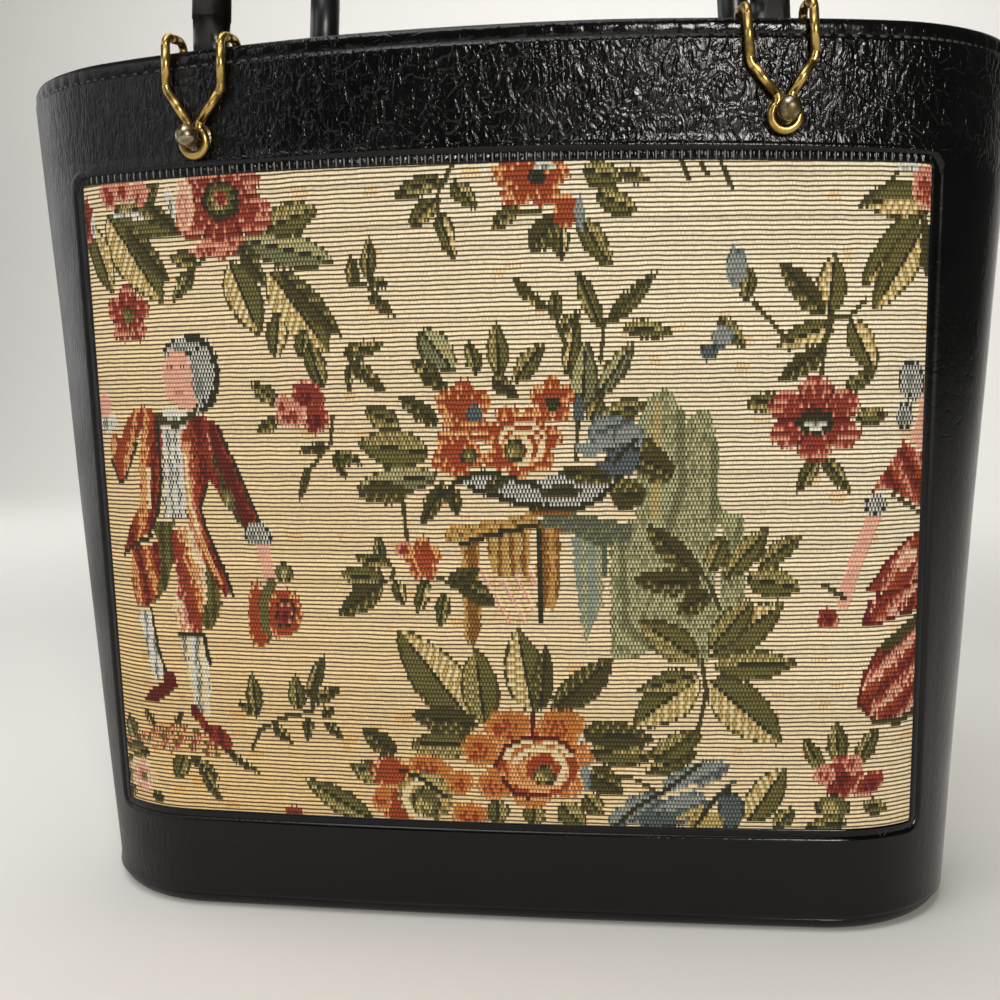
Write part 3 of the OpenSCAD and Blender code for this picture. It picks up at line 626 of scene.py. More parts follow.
LEAF_TONES = {
    "olive": ("olive", "fleck", "straw"),
    "gold": ("olive", "gold", "cream"),
    "sage": ("sage_deep", "sage", "straw"),
    "deep": ("moss", "moss", "fleck"),
}
PETAL_TONES = {
    "red": ("coral", "red", "crimson"),
    "coral": ("pink", "coral", "red"),
    "rust": ("orange", "rust", "rust"),
    "amber": ("orange", "amber", "rust"),
    "pink": ("cream", "pink", "coral"),
    "white": ("white", "white", "grey"),
    "blue": ("slate", "blue", "blue"),
    "slate": ("night", "slate", "slate"),
    "gold": ("olive", "gold", "straw"),
    "green": ("night", "olive", "straw"),
    "grey": ("night", "hatch", "grey"),
    "flesh": ("flesh", "flesh", "flesh"),
    "dark": ("night", "night", "moss"),
}

# Where the leaves grow: root, tip and width, with a negative width for a light right half
LEAVES = {
    "sage": [
        (-17, 171, -8, 160, 9), (26, 148, 27, 168, 8), (30, 153, 40, 167, 6), (-14, 132, -37, 129, -8),
        (-67, 197, -40, 190, 10),
    ],
    "gold": [
        (-110, 206, -93, 181, -14), (-117, 204, -110, 184, 8.5), (-71, 191, -63, 171, -11),
        (-59, 188, -43, 166, -14), (-57, 177, -59, 164, 6.5), (-37, 163, -38, 155, 3),
        (-12, 158, -20, 163, 4.6), (16, 176, 8, 184, 3.4), (22, 158, 25, 175, 5),
        (-27, 103, -25, 95, 4.2), (-18, 103, -21, 93, 4.4), (60, 81, 80, 96, 11), (60, 74, 80, 56, -14),
        (57, 75, 39, 61, 13), (-11, 202, -7, 189, 5), (21, 198, 21, 188, 4.6), (91, 173, 92.5, 189, 8.5),
        (93, 171, 77, 165, 7), (97, 172, 104, 158, 8), (118, 200, 100, 181, 10), (118, 197, 103, 174, 10),
        (119, 203, 99, 202, 10), (-105, 56, -109, 61, 3), (-98, 57, -95, 61, 2.6),
        (-70, 61, -77, 65, 3.4), (-66, 58, -60, 53, 3.6), (-7, 62, -27, 88, -15), (11, 64, 7, 89, 12),
        (19, 66, 33, 79, 9), (42, 47, 57, 53, 5.5), (71, 33, 81, 49, 10), (-82, 50, -71, 43, 3),
    ],
    "olive": [
        (-108, 207, -84, 200, 9), (-101, 206, -92, 213, 6), (-81, 192, -90, 193, 5),
        (-82, 189, -90, 181, -4), (-60, 199, -44, 204, 9), (-50, 172, -51, 164, 5),
        (-49, 168, -45, 156, 6), (-35, 183, -35.5, 191, 4.2), (-31, 185, -30, 196, 4.6),
        (-31, 185, -25, 183, 3.4), (-31, 181, -24, 175, 3.6), (-58, 152, -67, 158, 5),
        (-59, 148, -66, 144, 4), (-51, 134, -54, 125, 3), (-44, 140, -54, 139, 3),
        (-43, 138, -40, 131, 3.4), (-43, 139, -35, 135, 4), (-39, 165, -27, 168, 4.4),
        (-36, 163, -28, 155, 4.4), (-2, 159, -4, 168, 4.6), (4, 158, 3.5, 173, 6), (8, 157, 16, 167, 6),
        (31, 147, 43, 151, 6), (28, 146, 31, 153, 5), (-24, 146, -34, 150, 6.5),
        (-16, 138, -36, 141, -11), (31, 171, 25, 186, 5), (33, 172, 46, 185, 5),
        (19, 173, 19.5, 181, 4.4), (20, 170, 26, 175, 3.6), (37, 171, 50, 169, 5),
        (-30, 102, -43, 104, 7.5), (-31, 107, -31.5, 115, 4), (-13, 99, -15, 89, 4.4),
        (-28, 107, -39, 109, 4.2), (60, 105, 64, 115, 6.5), (64, 103, 76, 117, 7), (73, 106, 85, 115, 6),
        (70, 103, 85, 100, 9), (57, 80, 41, 91, 10), (60, 83, 72, 97, 8.5), (61, 78, 84, 79, 9),
        (57, 76, 40, 71, 7), (44, 51, 58, 59, 8), (-10, 210, -23, 206, 5.5), (-11, 205, -19, 198, 5.5),
        (-7, 209, -1, 202, 5.5), (27, 211, 37, 208, 7.5), (36, 210, 44, 208, 4.5),
        (30, 205, 41, 200, 6.5), (10, 202, 3, 197, 5), (26, 199, 34, 186, 6.5), (69, 177, 70.5, 186, 4.5),
        (62, 173, 69, 165, 5), (80, 151, 69, 150, 5.5), (99, 146, 108, 147, 5.5),
        (96, 154, 104, 158, 4.5), (89, 136, 83, 126, 4.6), (90, 136, 98, 126, 4.6), (-95, 48, -98, 40, 6),
        (-93, 47, -84, 41, 4), (-90, 44, -84, 34, 4), (-114, 51, -117, 58, 6), (-108, 47, -119, 48, 5),
        (-117, 45, -119, 36, 5), (-108, 34, -103, 33, 4), (-116, 36, -119, 31, 4), (-71, 61, -72, 74, 5),
        (-58, 63, -58.5, 74, 5.4), (-55, 67, -49, 80, 4.6), (-54, 66, -45, 70, 4.4),
        (-55, 61, -55.5, 54, 4), (-51, 61, -47, 65, 3.4), (-50, 60, -45, 55, 3.4), (-3, 61, -5, 83, 11),
        (-7, 54, -25, 54, 9), (-32, 43, -43, 47, 7), (-37, 30, -57, 42, 8), (0, 38, 0, 30, 7),
        (11, 37, 10, 30, 7), (18, 37, 25, 30, 8), (25, 40, 30, 34, 6), (27, 53, 45, 52, 8),
        (78, 31, 84, 37, 5), (92, 47, 86, 58, 5), (96, 50, 95, 62, 6), (101, 50, 107, 60, 5.5),
        (103, 38, 111, 36, 5), (87, 31, 99, 33, 5),
    ],
    "deep": [
        (-104, 203, -90, 186, 6), (-97, 209, -85, 199, 4), (-69, 198, -60, 184, 5),
        (-56, 188, -39, 170, 6.5), (-13, 146, -24, 154, 5.5), (-12, 130, -19, 118, 5),
        (-10, 129, -9, 121, 4.6), (2, 158, 9, 153, 4.6), (-10, 156, -18, 159, 4), (38, 138, 47, 138, 7),
        (33, 127, 43, 126, 9), (-31, 101, -44, 92, 7.5), (-12, 101, -3, 106, 6), (-9, 102, 1, 96, 6.5),
        (57, 103, 43, 118, 7.5), (58, 101, 39, 103, 7.5), (60, 99, 51, 93, 6.5), (50, 131, 40, 137, 9),
        (20, 199, 13, 191, 8), (90, 173, 78, 187, 7), (91, 165, 78, 156, 6), (119, 197, 119, 183, 5.5),
        (13, 65, 15, 84, 6), (16, 65, 34, 81, 8), (24, 59, 45, 57, 8.5), (-5, 60, -24, 63, 8.5),
        (-29, 51, -39, 58, 6.5), (26, 47, 36, 41, 8.5), (-22, 127, -37, 127, 6),
    ],
}
STEMS = [
    ((-34, 190), (-35, 184), (-31, 183), (-24, 175)), ((-43, 148), (-44, 141), (-51, 133), (-54, 126)),
    ((-37, 168), (-36, 160), (-28, 156)), ((31, 162), (32, 172), (44, 184)),
    ((22, 166), (19, 175), (9, 182)), ((-24, 125), (-23, 113)), ((-27, 106), (-28, 103), (-32, 101)),
    ((-16, 104), (-10, 101), (-6, 103)), ((57, 106), (60, 101), (63, 94)),
    ((58, 80), (59, 70), (57, 60), (45, 50)), ((-7, 213), (-11, 206), (-11, 199)), ((71, 177), (79, 168)),
    ((90, 172), (97, 173), (101, 177)), ((91, 171), (89, 155)),
    ((-73, 51), (-70, 57), (-62, 61), (-54, 63), (-50, 78)), ((52, 213), (54, 208)),
    ((57, 212), (59, 209)), ((62, 213), (65, 206)), ((33, 46), (40, 45), (50, 38), (54, 38)),
    ((91, 101), (97, 97)), ((-88, 187), (-79, 192)), ((25, 148), (24, 136)), ((8, 201), (16, 201)),
    ((99, 201), (109, 209)),
]
# Where the petals lie: middle, half width, half height and turn in degrees
PETALS = {
    "red": [
        (-120, 205, 4.6, 7, 0), (-50, 153, 5, 5.4, 0), (-48, 148, 4, 4.4, 0), (92.5, 91.5, 3, 3, 0),
        (97, 46, 6, 6, 0), (105, 44, 5, 3, 30), (-61, 31, 3, 2.6, 0),
    ],
    "coral": [
        (-109, 212, 3.4, 4.6, 0), (-104, 212.5, 3, 4, 0), (-98.5, 211.5, 3, 3.6, 0),
        (-55, 149, 4.6, 4, 0), (-57, 152, 3, 2.4, 0), (118, 206, 5, 6, 0), (-24, 111, 3, 2.5, 0),
        (100, 50, 2.6, 3, 0), (92, 47, 3, 3, 0),
    ],
    "rust": [(22.5, 200.5, 3.4, 4.2, 0), (-31, 45, 6, 5, 0), (-29, 35, 5.6, 6, 0)],
    "amber": [(-19, 47, 7, 3.6, -15), (-11, 43, 4.4, 4, 0), (-8, 33, 5.4, 4, 0), (-34, 37, 3, 4, 0)],
    "white": [
        (-116, 203, 1, 3.4, 0), (-88.5, 208, 1.2, 5, 12), (-103, 205.5, 6, 0.9, -8), (17, 212, 3, 1.2, 0),
        (112, 211, 3.4, 1.5, 0), (24.5, 54, 1.4, 5, 10),
    ],
    "blue": [
        (33, 143, 6, 5, 0), (38, 142, 4.4, 4.4, 0), (28, 139, 4, 2, 0), (26, 200, 1.3, 4.6, 0),
        (66.5, 186, 2.8, 5, 0), (63, 168, 3, 3, 0), (56, 46, 10, 3.6, 22), (51, 37, 9, 5.6, 0),
        (42, 36, 6, 5, 0), (36, 34, 5, 3, 35), (25.5, 46, 1.4, 5, 0),
    ],
    "slate": [
        (37, 136, 5, 4, 0), (33, 133, 5, 2.6, 0), (25, 150, 1.6, 4.4, 0), (66, 36, 4, 6, 0),
        (59.5, 164, 2.4, 2.4, 0), (47, 33, 7, 2.4, 0),
    ],
    "gold": [(59, 33, 5, 3, 0), (-21, 38, 8, 8, 0)],
    "green": [(94.5, 37.5, 5, 3.6, 0), (-118, 42, 3, 2.4, 0)],
}

# Slubs: faint orange flecks in the ground's thread, with the ranges of their places and half sizes
SLUBS = 150
SLUB_X, SLUB_Z = (-120, 120), (30, 214)
SLUB_HALF_W, SLUB_HALF_H = (0.8, 2.6), (0.5, 1.6)
for _ in range(SLUBS):
    off_x, off_z = np.abs(X - rng.uniform(*SLUB_X)), np.abs(Z - rng.uniform(*SLUB_Z))
    fill((off_x < rng.uniform(*SLUB_HALF_W)) & (off_z < rng.uniform(*SLUB_HALF_H)), "slub")

# The pale tree behind the stand, woven close in greens
patch("sage", (33, 80), (33, 117), (40, 120), (40, 142), (41, 147), (44, 153), (49, 155), (52, 150),
      (53, 143), (55, 148), (60, 149), (62, 139), (62, 125), (65, 121), (69, 121), (70, 100), (66, 88),
      (58, 78), (46, 86), (40, 80), speckle="sage_deep")
stroke("sage_deep", 2.2, (61, 140), (61, 119))
stroke("sage_deep", 2.4, (52, 148), (52.5, 128), (47, 112))
stroke("sage_deep", 2, (36, 114), (37, 90), (44, 84))
stroke("sage_deep", 1.8, (68, 119), (66, 104))
stroke("ground", 1.6, (62.5, 117), (62, 97))
stroke("straw", 2.4, (46, 150), (45, 120))

# The stand under the bouquet: a roof over columns of stone
patch("brown", (-8, 113), (-3, 114), (-3, 90), (-5, 83), (-8, 86), stripes=("brown", "ochre", "brown"),
      pitch=5)
patch("pink", (-3, 106), (13, 106), (13, 94), (8, 89), (0, 92),
      stripes=("ground", "pink", "ground", "slub"), pitch=4.4, slant=0.5)
patch("ochre", (-1, 115), (11, 117), (11, 102), (8, 105), (4, 103), (0, 106),
      stripes=("ochre", "gold", "brown"), pitch=3.3)
patch("brown", (13, 118), (19.5, 118), (19, 98), (17, 94), (15, 96), (14, 90), (13, 92),
      stripes=("brown", "brown", "ochre"), pitch=6)
stroke("night", 1.4, (13.6, 117), (13.6, 91))
patch("teal", (22.5, 115), (31, 114), (31, 96), (28, 90), (26, 84), (24, 96),
      stripes=("teal", "sage", "teal"), pitch=4)
stroke("stone", 1.6, (31.5, 118), (31.5, 104))
patch("ochre", (-13, 114), (-11, 118), (3, 119.5), (12, 122), (14, 119), (0, 115.5), (-7, 112.5),
      stripes=("ochre", "brown", "ochre", "gold"), pitch=5, slant=1.6)
stroke("night", 1.3, (-8, 112.8), (0, 115.2), (14, 118.4))
patch("stone", (13, 118), (15, 121), (24, 121.5), (39, 118), (39, 114), (30, 112), (22, 116),
      stripes=("stone", "stone", "sage_deep"), pitch=5, slant=-1.4)
patch("brown", (11, 123.4), (24, 123), (22, 120.2), (13, 120.4))

# The figure at the right edge: gown, skirts and a powdered wig
patch("red", (101, 67), (103, 76), (108, 84), (117, 90), (124, 91), (124, 65), (114, 61), (106, 62),
      outline="crimson", stripes=("red", "coral", "pink", "rust", "red", "crimson"), pitch=12, slant=-1.2)
stroke("moss", 3.4, (109, 83), (116, 88), (124, 92))
stroke("moss", 1.8, (106, 62), (114, 61), (122, 65))
patch("red", (102, 90), (104, 96), (112, 99), (124, 103), (124, 94), (110, 91), (106, 89),
      outline="crimson", stripes=("red", "crimson", "rust", "coral", "pink"), pitch=10, slant=-1.0)
patch("red", (103, 99), (108, 106), (114, 112), (124, 117), (124, 103), (112, 98), outline="crimson",
      stripes=("red", "coral", "rust", "red"), pitch=9, slant=-0.6)
petal("pink", 115, 107, 4, 2.4, 35)
patch("red", (103.5, 126), (113, 140), (124, 133), (124, 119), (115, 124), (108, 127),
      stripes=("red", "crimson", "rust", "coral"), pitch=8, slant=0.6)
stroke("moss", 1.2, (110, 125), (115, 122.5), (124, 117))
stroke("flesh", 4, (105, 120), (100, 108), (96.5, 96))
petal("grey", 105, 122.5, 3.6, 2.8, 20)
patch("flesh", (117, 157), (124, 157), (124, 134), (114.5, 140), (117.5, 147))
petal("grey", 115, 156, 4.4, 5.6, 10)
petal("grey", 113, 146.5, 2.6, 4)

# The ground under the left figure's feet
patch("rust", (-122, 52), (-112, 53), (-104, 56.5), (-96, 58), (-88, 55), (-83, 50), (-84, 47), (-92, 49),
      (-100, 48), (-110, 50), (-122, 48), stripes=("coral", "slub", "rust", "ground", "olive"), pitch=10,
      slant=3.6)

for style, rows in LEAVES.items():
    for row in rows:
        leaf(style, *row)
for points in STEMS:
    stroke("moss", STEM_W, *points)

# Open flowers, and the large red one with its ringed eye
flower("red", -72.5, 205.5, 15.5, 13, 5, 54)
petal("pink", -84, 207, 3, 7)
petal("coral", -77, 194.5, 6, 2)
petal("dark", -72.5, 207.5, 5.8, 5.4)
petal("green", -72.5, 208, 4.4, 4)
petal("red", -72.5, 208, 2, 2)
flower("red", -105, 178, 7.6, 8.6, 5, 90)
petal("green", -105, 177.5, 2.2, 2)
flower("red", 88, 146, 13.4, 11.6, 6, 30)
petal("dark", 88, 145, 5.4, 3.2)
petal("white", 88, 144.4, 3.2, 1.2)
flower("rust", 13.5, 209, 10.4, 8, 5, 18)
petal("dark", 15, 209.5, 2.4, 2)
for style, rows in PETALS.items():
    for row in rows:
        petal(style, *row)
flower("rust", -6, 150.5, 7.8, 7.4, 5, 90)
petal("slate", -3, 148.5, 2.2, 2.6)
flower("rust", -8, 138, 7.4, 7.6, 5, 60)
petal("green", -5, 137, 2.4, 2.2)
flower("rust", 18, 152, 6, 6.4, 5, 90)
petal("dark", 18, 151, 2, 2)
flower("rust", -19, 108.5, 5.4, 6.6, 5, 90)
flower("pink", -112, 39.5, 6.4, 5.8, 5, 0)
petal("green", -111, 39, 1.4, 1.2)

# Streaks of thread over the blue flowers
STREAKS = [
    ("slate", (38, 32), (46, 38), (56, 44), (65, 49)), ("slate", (44, 31), (52, 36), (60, 38), (67, 45)),
    ("night", (33, 30), (40, 37), (48, 42), (58, 50)), ("cream", (47, 40), (56, 43)),
    ("gold", (51, 33), (58, 37)), ("night", (56, 31), (62, 40), (66, 43)),
    ("slate", (30, 143), (38, 146)), ("night", (35, 136), (40, 141)),
]
for tone, *points in STREAKS:
    stroke(tone, STREAK_W, *points)


# The inner petals of a rose: share of its size, start and sweep in degrees, and tone
ROSE_ARCS = [
    (0.6, 0, 360, "rust"), (0.56, 20, 150, "cream"), (0.46, 150, 200, "orange"),
    (0.4, 300, 230, "cream"), (0.3, 100, 220, "orange"), (0.22, 0, 360, "rust"),
]
HEART_RIGHT_SHARE, HEART_DOWN_SHARE, ROSE_ARC_SHARE = 0.2, 0.25, 0.11
ROSE_LOBES, ROSE_TURN = 7, 10


def rose(style, x, z, across, up):
    """A full rose: outer petals, light arcs of inner ones, and a heart low on its right"""
    flower(style, x, z, across, up, ROSE_LOBES, ROSE_TURN)
    for share, start, sweep, tone in ROSE_ARCS:
        arc(tone, x + HEART_RIGHT_SHARE * across * (1 - share), z - HEART_DOWN_SHARE * up * (1 - share),
            across * share, up * share, start, sweep, ROSE_ARC_SHARE * across)


rose("rust", 9, 141, 11.5, 10.5)
petal("green", 7.5, 138.5, 3, 3)
arc("cream", 7.5, 138.5, 4.2, 4.2, 280, 140, 1.7)
rose("amber", 10.5, 50, 17, 14.5)
petal("amber", 4, 60, 7, 5)
petal("amber", 18.5, 60.5, 7, 5)
petal("amber", -4.5, 53, 5.4, 5)
petal("amber", -0.5, 42.5, 5.4, 4.6)
stroke("crimson", 1.2, (-0.5, 48), (3, 54), (9, 57), (17, 57), (22, 53))
stroke("crimson", 1.4, (2, 44), (5, 40), (9, 39), (14, 40))
stroke("crimson", 1.2, (10.5, 57), (11, 64))
petal("green", 13.5, 45.5, 3.4, 3)
petal("green", -21, 36, 4.4, 5)
arc("cream", -21, 37, 6, 6, 90, 200, 2)
stroke("night", 1.4, (-28, 46), (-21, 43), (-15, 38))

# The dish that holds the bouquet, checked black and white
patch("hatch", (-9, 130), (-4, 132), (6, 131), (14, 131), (25, 132), (35, 130), (30, 125), (24, 122.5),
      (10, 123.5), (-2, 127))
stroke("night", 1.5, (-13, 126.5), (-8, 130.5), (-1, 133), (6, 131), (14, 129))
stroke("night", 1.5, (-5, 128.5), (2, 126), (10, 123.5), (24, 122.5), (30, 125), (35, 130))
leaf("deep", 34, 130.5, 19, 133, 5)
leaf("deep", -1, 127.5, 6, 132, 4)
leaf("deep", 14, 127, 26, 127.5, 3.6)

# The figure at the left: red coat, checked vest, breeches, stockings and a powdered wig
patch("olive", (-101, 118), (-94, 119), (-94.5, 108), (-98, 98), (-103, 93.5), (-102, 100), (-99.5, 108),
      stripes=("moss", "olive"), pitch=3)
patch("red", (-109.5, 112), (-103, 111), (-99.5, 113), (-99.5, 104), (-101, 97), (-104, 93), (-109, 93),
      (-110.5, 100), stripes=("rust", "orange", "rust", "crimson"), pitch=6.5, slant=0.2)
patch("red", (-95.5, 115), (-89, 118), (-86, 112), (-83.5, 103), (-84.5, 93), (-87, 86), (-94, 84.5),
      (-96, 92), (-94, 101), stripes=("rust", "orange", "cream", "coral", "red"), pitch=11, slant=0.25)
patch("olive", (-85, 107), (-81, 103), (-80, 94), (-84, 86), (-87, 88), (-84.5, 97),
      stripes=("moss", "olive"), pitch=2.6)
patch("white", (-109, 92), (-104, 91.5), (-102, 80), (-100, 72), (-104, 69.5), (-106, 78),
      stripes=("white", "grey", "white"), pitch=2.9)
stroke("night", 1, (-103.6, 92), (-102, 80), (-99.6, 72))
patch("crimson", (-108.5, 64), (-105, 63), (-99, 66.5), (-96, 69), (-97, 73), (-100, 73), (-101, 69.5),
      (-105, 68))
patch("white", (-94.5, 84.5), (-86, 84.5), (-85, 74), (-86, 59.5), (-90.5, 59.5), (-92.5, 74),
      stripes=("cream", "white", "grey"), pitch=4.2)
stroke("night", 1.2, (-94.5, 85), (-86.5, 85), (-85, 76))
patch("crimson", (-92.5, 63.5), (-90, 63), (-87, 58), (-82, 56.5), (-79, 52.5), (-80, 49.8), (-84, 51),
      (-88.5, 56), (-92, 60), stripes=("crimson", "red"), pitch=4)
patch("red", (-101, 152.5), (-106, 150.5), (-109.5, 146), (-111, 142), (-113, 144), (-115.8, 143),
      (-115.2, 136), (-113, 130), (-110.5, 130.5), (-107.5, 137), (-104, 144), (-100, 148),
      stripes=("rust", "rust", "orange", "red"), pitch=7, slant=-0.35)
stroke("night", 1, (-115.6, 136), (-112.5, 129.6), (-110, 131), (-105, 141.5))
patch("red", (-102, 152), (-97, 149.5), (-95.5, 146), (-96.5, 136), (-98, 127), (-100, 119),
      (-102, 115.5), (-108, 112), (-113.8, 108.3), (-111, 114), (-107.5, 120), (-105, 123.5), (-105, 131),
      (-104, 141), stripes=("rust", "crimson", "rust", "orange"), pitch=7.4, slant=-0.12)
stroke("cream", 1.2, (-101.5, 134), (-102, 122))
stroke("orange", 1.4, (-103, 131), (-103.5, 120))
stroke("night", 1.1, (-97.4, 148), (-97.4, 132), (-99, 121), (-103, 114))
stroke("night", 1.2, (-102, 114), (-108, 111.5), (-113, 108.4))
patch("hatch", (-96.5, 147), (-90, 148), (-89.6, 119), (-97.4, 120), (-96.4, 135),
      stripes=("white", "hatch"), pitch=2.4)
patch("red", (-90, 146), (-84, 150), (-80.5, 148), (-79.5, 142), (-80, 133), (-82, 129.5), (-85, 124),
      (-85, 120), (-82, 113), (-79, 105), (-76.5, 98), (-79, 96.5), (-83, 103), (-87, 112), (-89.5, 120),
      (-89.5, 132), stripes=("coral", "rust", "crimson", "red"), pitch=11, slant=0.1)
stroke("orange", 1.6, (-88.6, 141), (-88.4, 122), (-84.5, 110), (-80, 101))
stroke("cream", 1, (-88.8, 137), (-88.4, 124), (-86, 115))
stroke("night", 1.1, (-82.5, 129), (-85, 123), (-84, 117), (-78, 103), (-76.5, 97))
patch("crimson", (-81, 148.5), (-77, 145.5), (-74.5, 138), (-70.5, 129), (-67, 119), (-70, 116),
      (-73, 118), (-77, 124), (-81, 130), (-80, 138), stripes=("crimson", "red", "moss", "crimson"),
      pitch=7.5, slant=0.4)
stroke("night", 1.1, (-78, 146), (-74, 137), (-66.8, 119))
petal("green", -76, 125.5, 2, 3.6, 30)
petal("grey", -67.5, 115, 4.6, 3.4, -10)
patch("flesh", (-68, 112), (-63.6, 112), (-63.2, 101), (-66.4, 101))
petal("green", -60, 104, 3, 3)
petal("rust", -69.5, 92, 2.4, 10, -4)
petal("rust", -61, 92, 5.8, 7.4, -12)
petal("dark", -60.4, 92, 3.2, 4.4, -12)
petal("red", -60.4, 92, 2.4, 3.6, -12)
stroke("olive", 3, (-64, 101), (-67, 95), (-66.5, 85))
petal("rust", -68.5, 84, 2.6, 2.4)
petal("white", -116, 147.5, 4, 3)
petal("flesh", -117, 152.5, 3, 3.6)
petal("white", -92, 148, 4.6, 3, -10)
stroke("moss", 2, (-97, 149), (-92, 146), (-86, 149), (-83, 151))
petal("grey", -83.5, 160.5, 7, 10.4, -6)
petal("grey", -88, 168.4, 6.6, 3, 12)
arc("night", -84, 160.5, 7, 10.4, 280, 190, 1.5)
patch("flesh", (-92, 153), (-86.5, 150), (-84, 152), (-85.5, 158))
petal("flesh", -89.8, 160, 4.8, 7.8)
stroke("brown", 0.8, (-93, 162.4), (-91.2, 162.6))
stroke("brown", 0.8, (-88.4, 162.6), (-86.6, 162.4))
stroke("coral", 0.8, (-91, 155.8), (-88.6, 155.8))

# How the ground is painted darker and warmer towards the foot and the left: a warmer tone of the cloth, and
# painted shade where less light falls. Less of each colour, in the pattern's millimetres
SHADE_AND_WARMTH_SHARES = np.array((0.06, 0.24, 0.5))
SHADE_WARMTH_TOP, SHADE_WARMTH_FALL, SHADE_WARMTH_FOOT_SHARE = 210, 180, 0.7
SHADE_WARMTH_RIGHT, SHADE_WARMTH_RUN, SHADE_WARMTH_LEFT_SHARE = 20, 140, 0.45
UNEVEN_SHARE = 0.05


def cloth_colours():
    """The thread colour of each stitch, with an alpha that tells the figures from the ground"""
    pairs = np.array([[linear(a)[:3], linear(b)[:3]] for a, b in TONES.values()])
    plain = np.isin(tones, [TONE_NAMES.index(n) for n in ("ground", "slub")])
    turn = (np.arange(stitches)[None, :] + np.arange(ribs)[:, None]) % 2
    colour = pairs[tones, turn]
    # Painted shade with a warmer tone: the plain ground's colour is cut towards the foot and the left
    shade_and_warmth = SHADE_WARMTH_FOOT_SHARE * (SHADE_WARMTH_TOP - Z) / SHADE_WARMTH_FALL + SHADE_WARMTH_LEFT_SHARE * (SHADE_WARMTH_RIGHT - X) / SHADE_WARMTH_RUN
    shaded_and_warmed = colour * (1 - np.clip(shade_and_warmth, 0, 1)[:, :, None] * SHADE_AND_WARMTH_SHARES)
    colour = np.where(plain[:, :, None], shaded_and_warmed, colour)
    by_stitch = UNEVEN_SHARE * rng.standard_normal(X.shape)
    by_rib = UNEVEN_SHARE * rng.standard_normal((ribs, 1))
    uneven = 1 + by_stitch + by_rib
    return np.concatenate([np.clip(colour * uneven[:, :, None], 0, 1), 1.0 - plain[:, :, None]], axis=-1)


thread_colours = cloth_colours()


def lay_cloth(u, v):
    along, z = (u - 0.5) * CLOTH_W, cloth_base + v * CLOTH_H
    return on_skin(along, z, CLOTH_IN), np.stack([u * CLOTH_W, v * CLOTH_H], axis=-1)


def make_cloth(side, rear):
    cloth = add_piece(side + "_tapestry", laid_grid(stitches, ribs, lay_cloth, rear), "bag", TAPESTRY,
                      (side + "_tapestry_panel",))
    mesh = cloth.data
    corners = 4
    spread = np.empty(2 * len(mesh.loops))
    mesh.uv_layers["surface"].data.foreach_get("uv", spread)
    middle = spread.reshape(-1, corners, 2).mean(axis=1)
    column, row = (middle / (STITCH, RIB)).astype(int).T
    layer = mesh.color_attributes.new("thread", "FLOAT_COLOR", "CORNER")
    layer.data.foreach_set("color", np.repeat(thread_colours[row, column], corners, axis=0).ravel())


def window_side(u, half_w, half_h):
    """A point of a square's edge, from -1 to 1 each way, for a share of the way round a window"""
    lengths = np.cumsum([half_w, half_h, half_w, half_h]) / (2 * (half_w + half_h))
    side = np.searchsorted(lengths, u % 1, side="right")
    start = np.concatenate([[0], lengths])[side]
    t = 2 * (u % 1 - start) / (lengths[side] - start) - 1
    a = np.choose(side, [t, np.ones_like(t), -t, -np.ones_like(t)])
    b = np.choose(side, [-np.ones_like(t), t, np.ones_like(t), -t])
    return a, b


def rounded(x, y, half_w, half_h, r):
    """Pulls points of a sharp outline in to the round of its corners"""
    over_x, over_y = np.abs(x) - (half_w - r), np.abs(y) - (half_h - r)
    reach = np.hypot(over_x, over_y)
    corner = (over_x > 0) & (over_y > 0)
    shrink = np.where(corner, r / np.where(reach > 0, reach, 1), 1)
    x = np.where(corner, np.sign(x) * (half_w - r + over_x * shrink), x)
    y = np.where(corner, np.sign(y) * (half_h - r + over_y * shrink), y)
    return x, y


def window_edge(a, b, grow, r):
    """Points along and up of the window's outline, grown by a width"""
    half_w, half_h = CLOTH_HALF + grow, WINDOW_HALF + grow
    x, y = rounded(a * half_w, b * half_h, half_w, half_h, r)
    tilt = -TOP_TILT * np.clip(x / CLOTH_HALF, -1, 1) * (y / half_h + 1) / 2
    return x, WINDOW_MID + y + tilt


# Columns and rows of the grids that the pieces are laid from
SKIN_GRID = (720, 34)
BINDING_GRID = (2000, 14)
RIM_GRID = (1000, 40)
BASE_GRID = (320, 26)
LINING_GRID = (240, 30)
SWEEP_GRID = (8, 60)

# The skin's hollows: a slow and a quick wave, each with its depth and its lengths along and up the wall
SLOW_H, SLOW_ALONG, SLOW_UP, SLOW_SWAY = 0.18 * MM, 31 * MM, 57 * MM, 2.1
QUICK_H, QUICK_ALONG, QUICK_LEAN, QUICK_UP = 0.1 * MM, 13 * MM, 41 * MM, 19 * MM
QUICK_START = 1.3


def dents(along, z):
    """Shallow hollows of the skin where it was drawn over the board"""
    slow = np.sin(along / SLOW_ALONG + SLOW_SWAY * np.sin(z / SLOW_UP))
    quick = np.sin(along / QUICK_ALONG + z / QUICK_LEAN) * np.sin(z / QUICK_UP + QUICK_START)
    return SLOW_H * (1 + slow) + QUICK_H * (1 + quick)


# The skin laps under the window's edge and the rim's lip, dips at the window and rolls up above it
SKIN_LAP = 0.2 * MM
LIP_LAP = 0.6 * MM
DIP_W = 0.7 * MM
DIP_H = 0.6 * MM
ROLL_AT, ROLL_W, ROLL_H = 1.2 * MM, 0.6 * MM, 0.35 * MM
SKIN_EASE = 0.1 * MM
# Rows lie closer towards the window. The rest are shares of the way out, up and along, with where each starts
ROW_CROWDING = 1.7
ROLL_FROM_SHARE, ROLL_FADE_SHARE = 0.97, 0.02
LIP_FROM_SHARE, LIP_FADE_SHARE = 0.9, 0.08
SEAM_FADE_SHARE = 0.1
EDGE_FADE_SHARE = 0.125


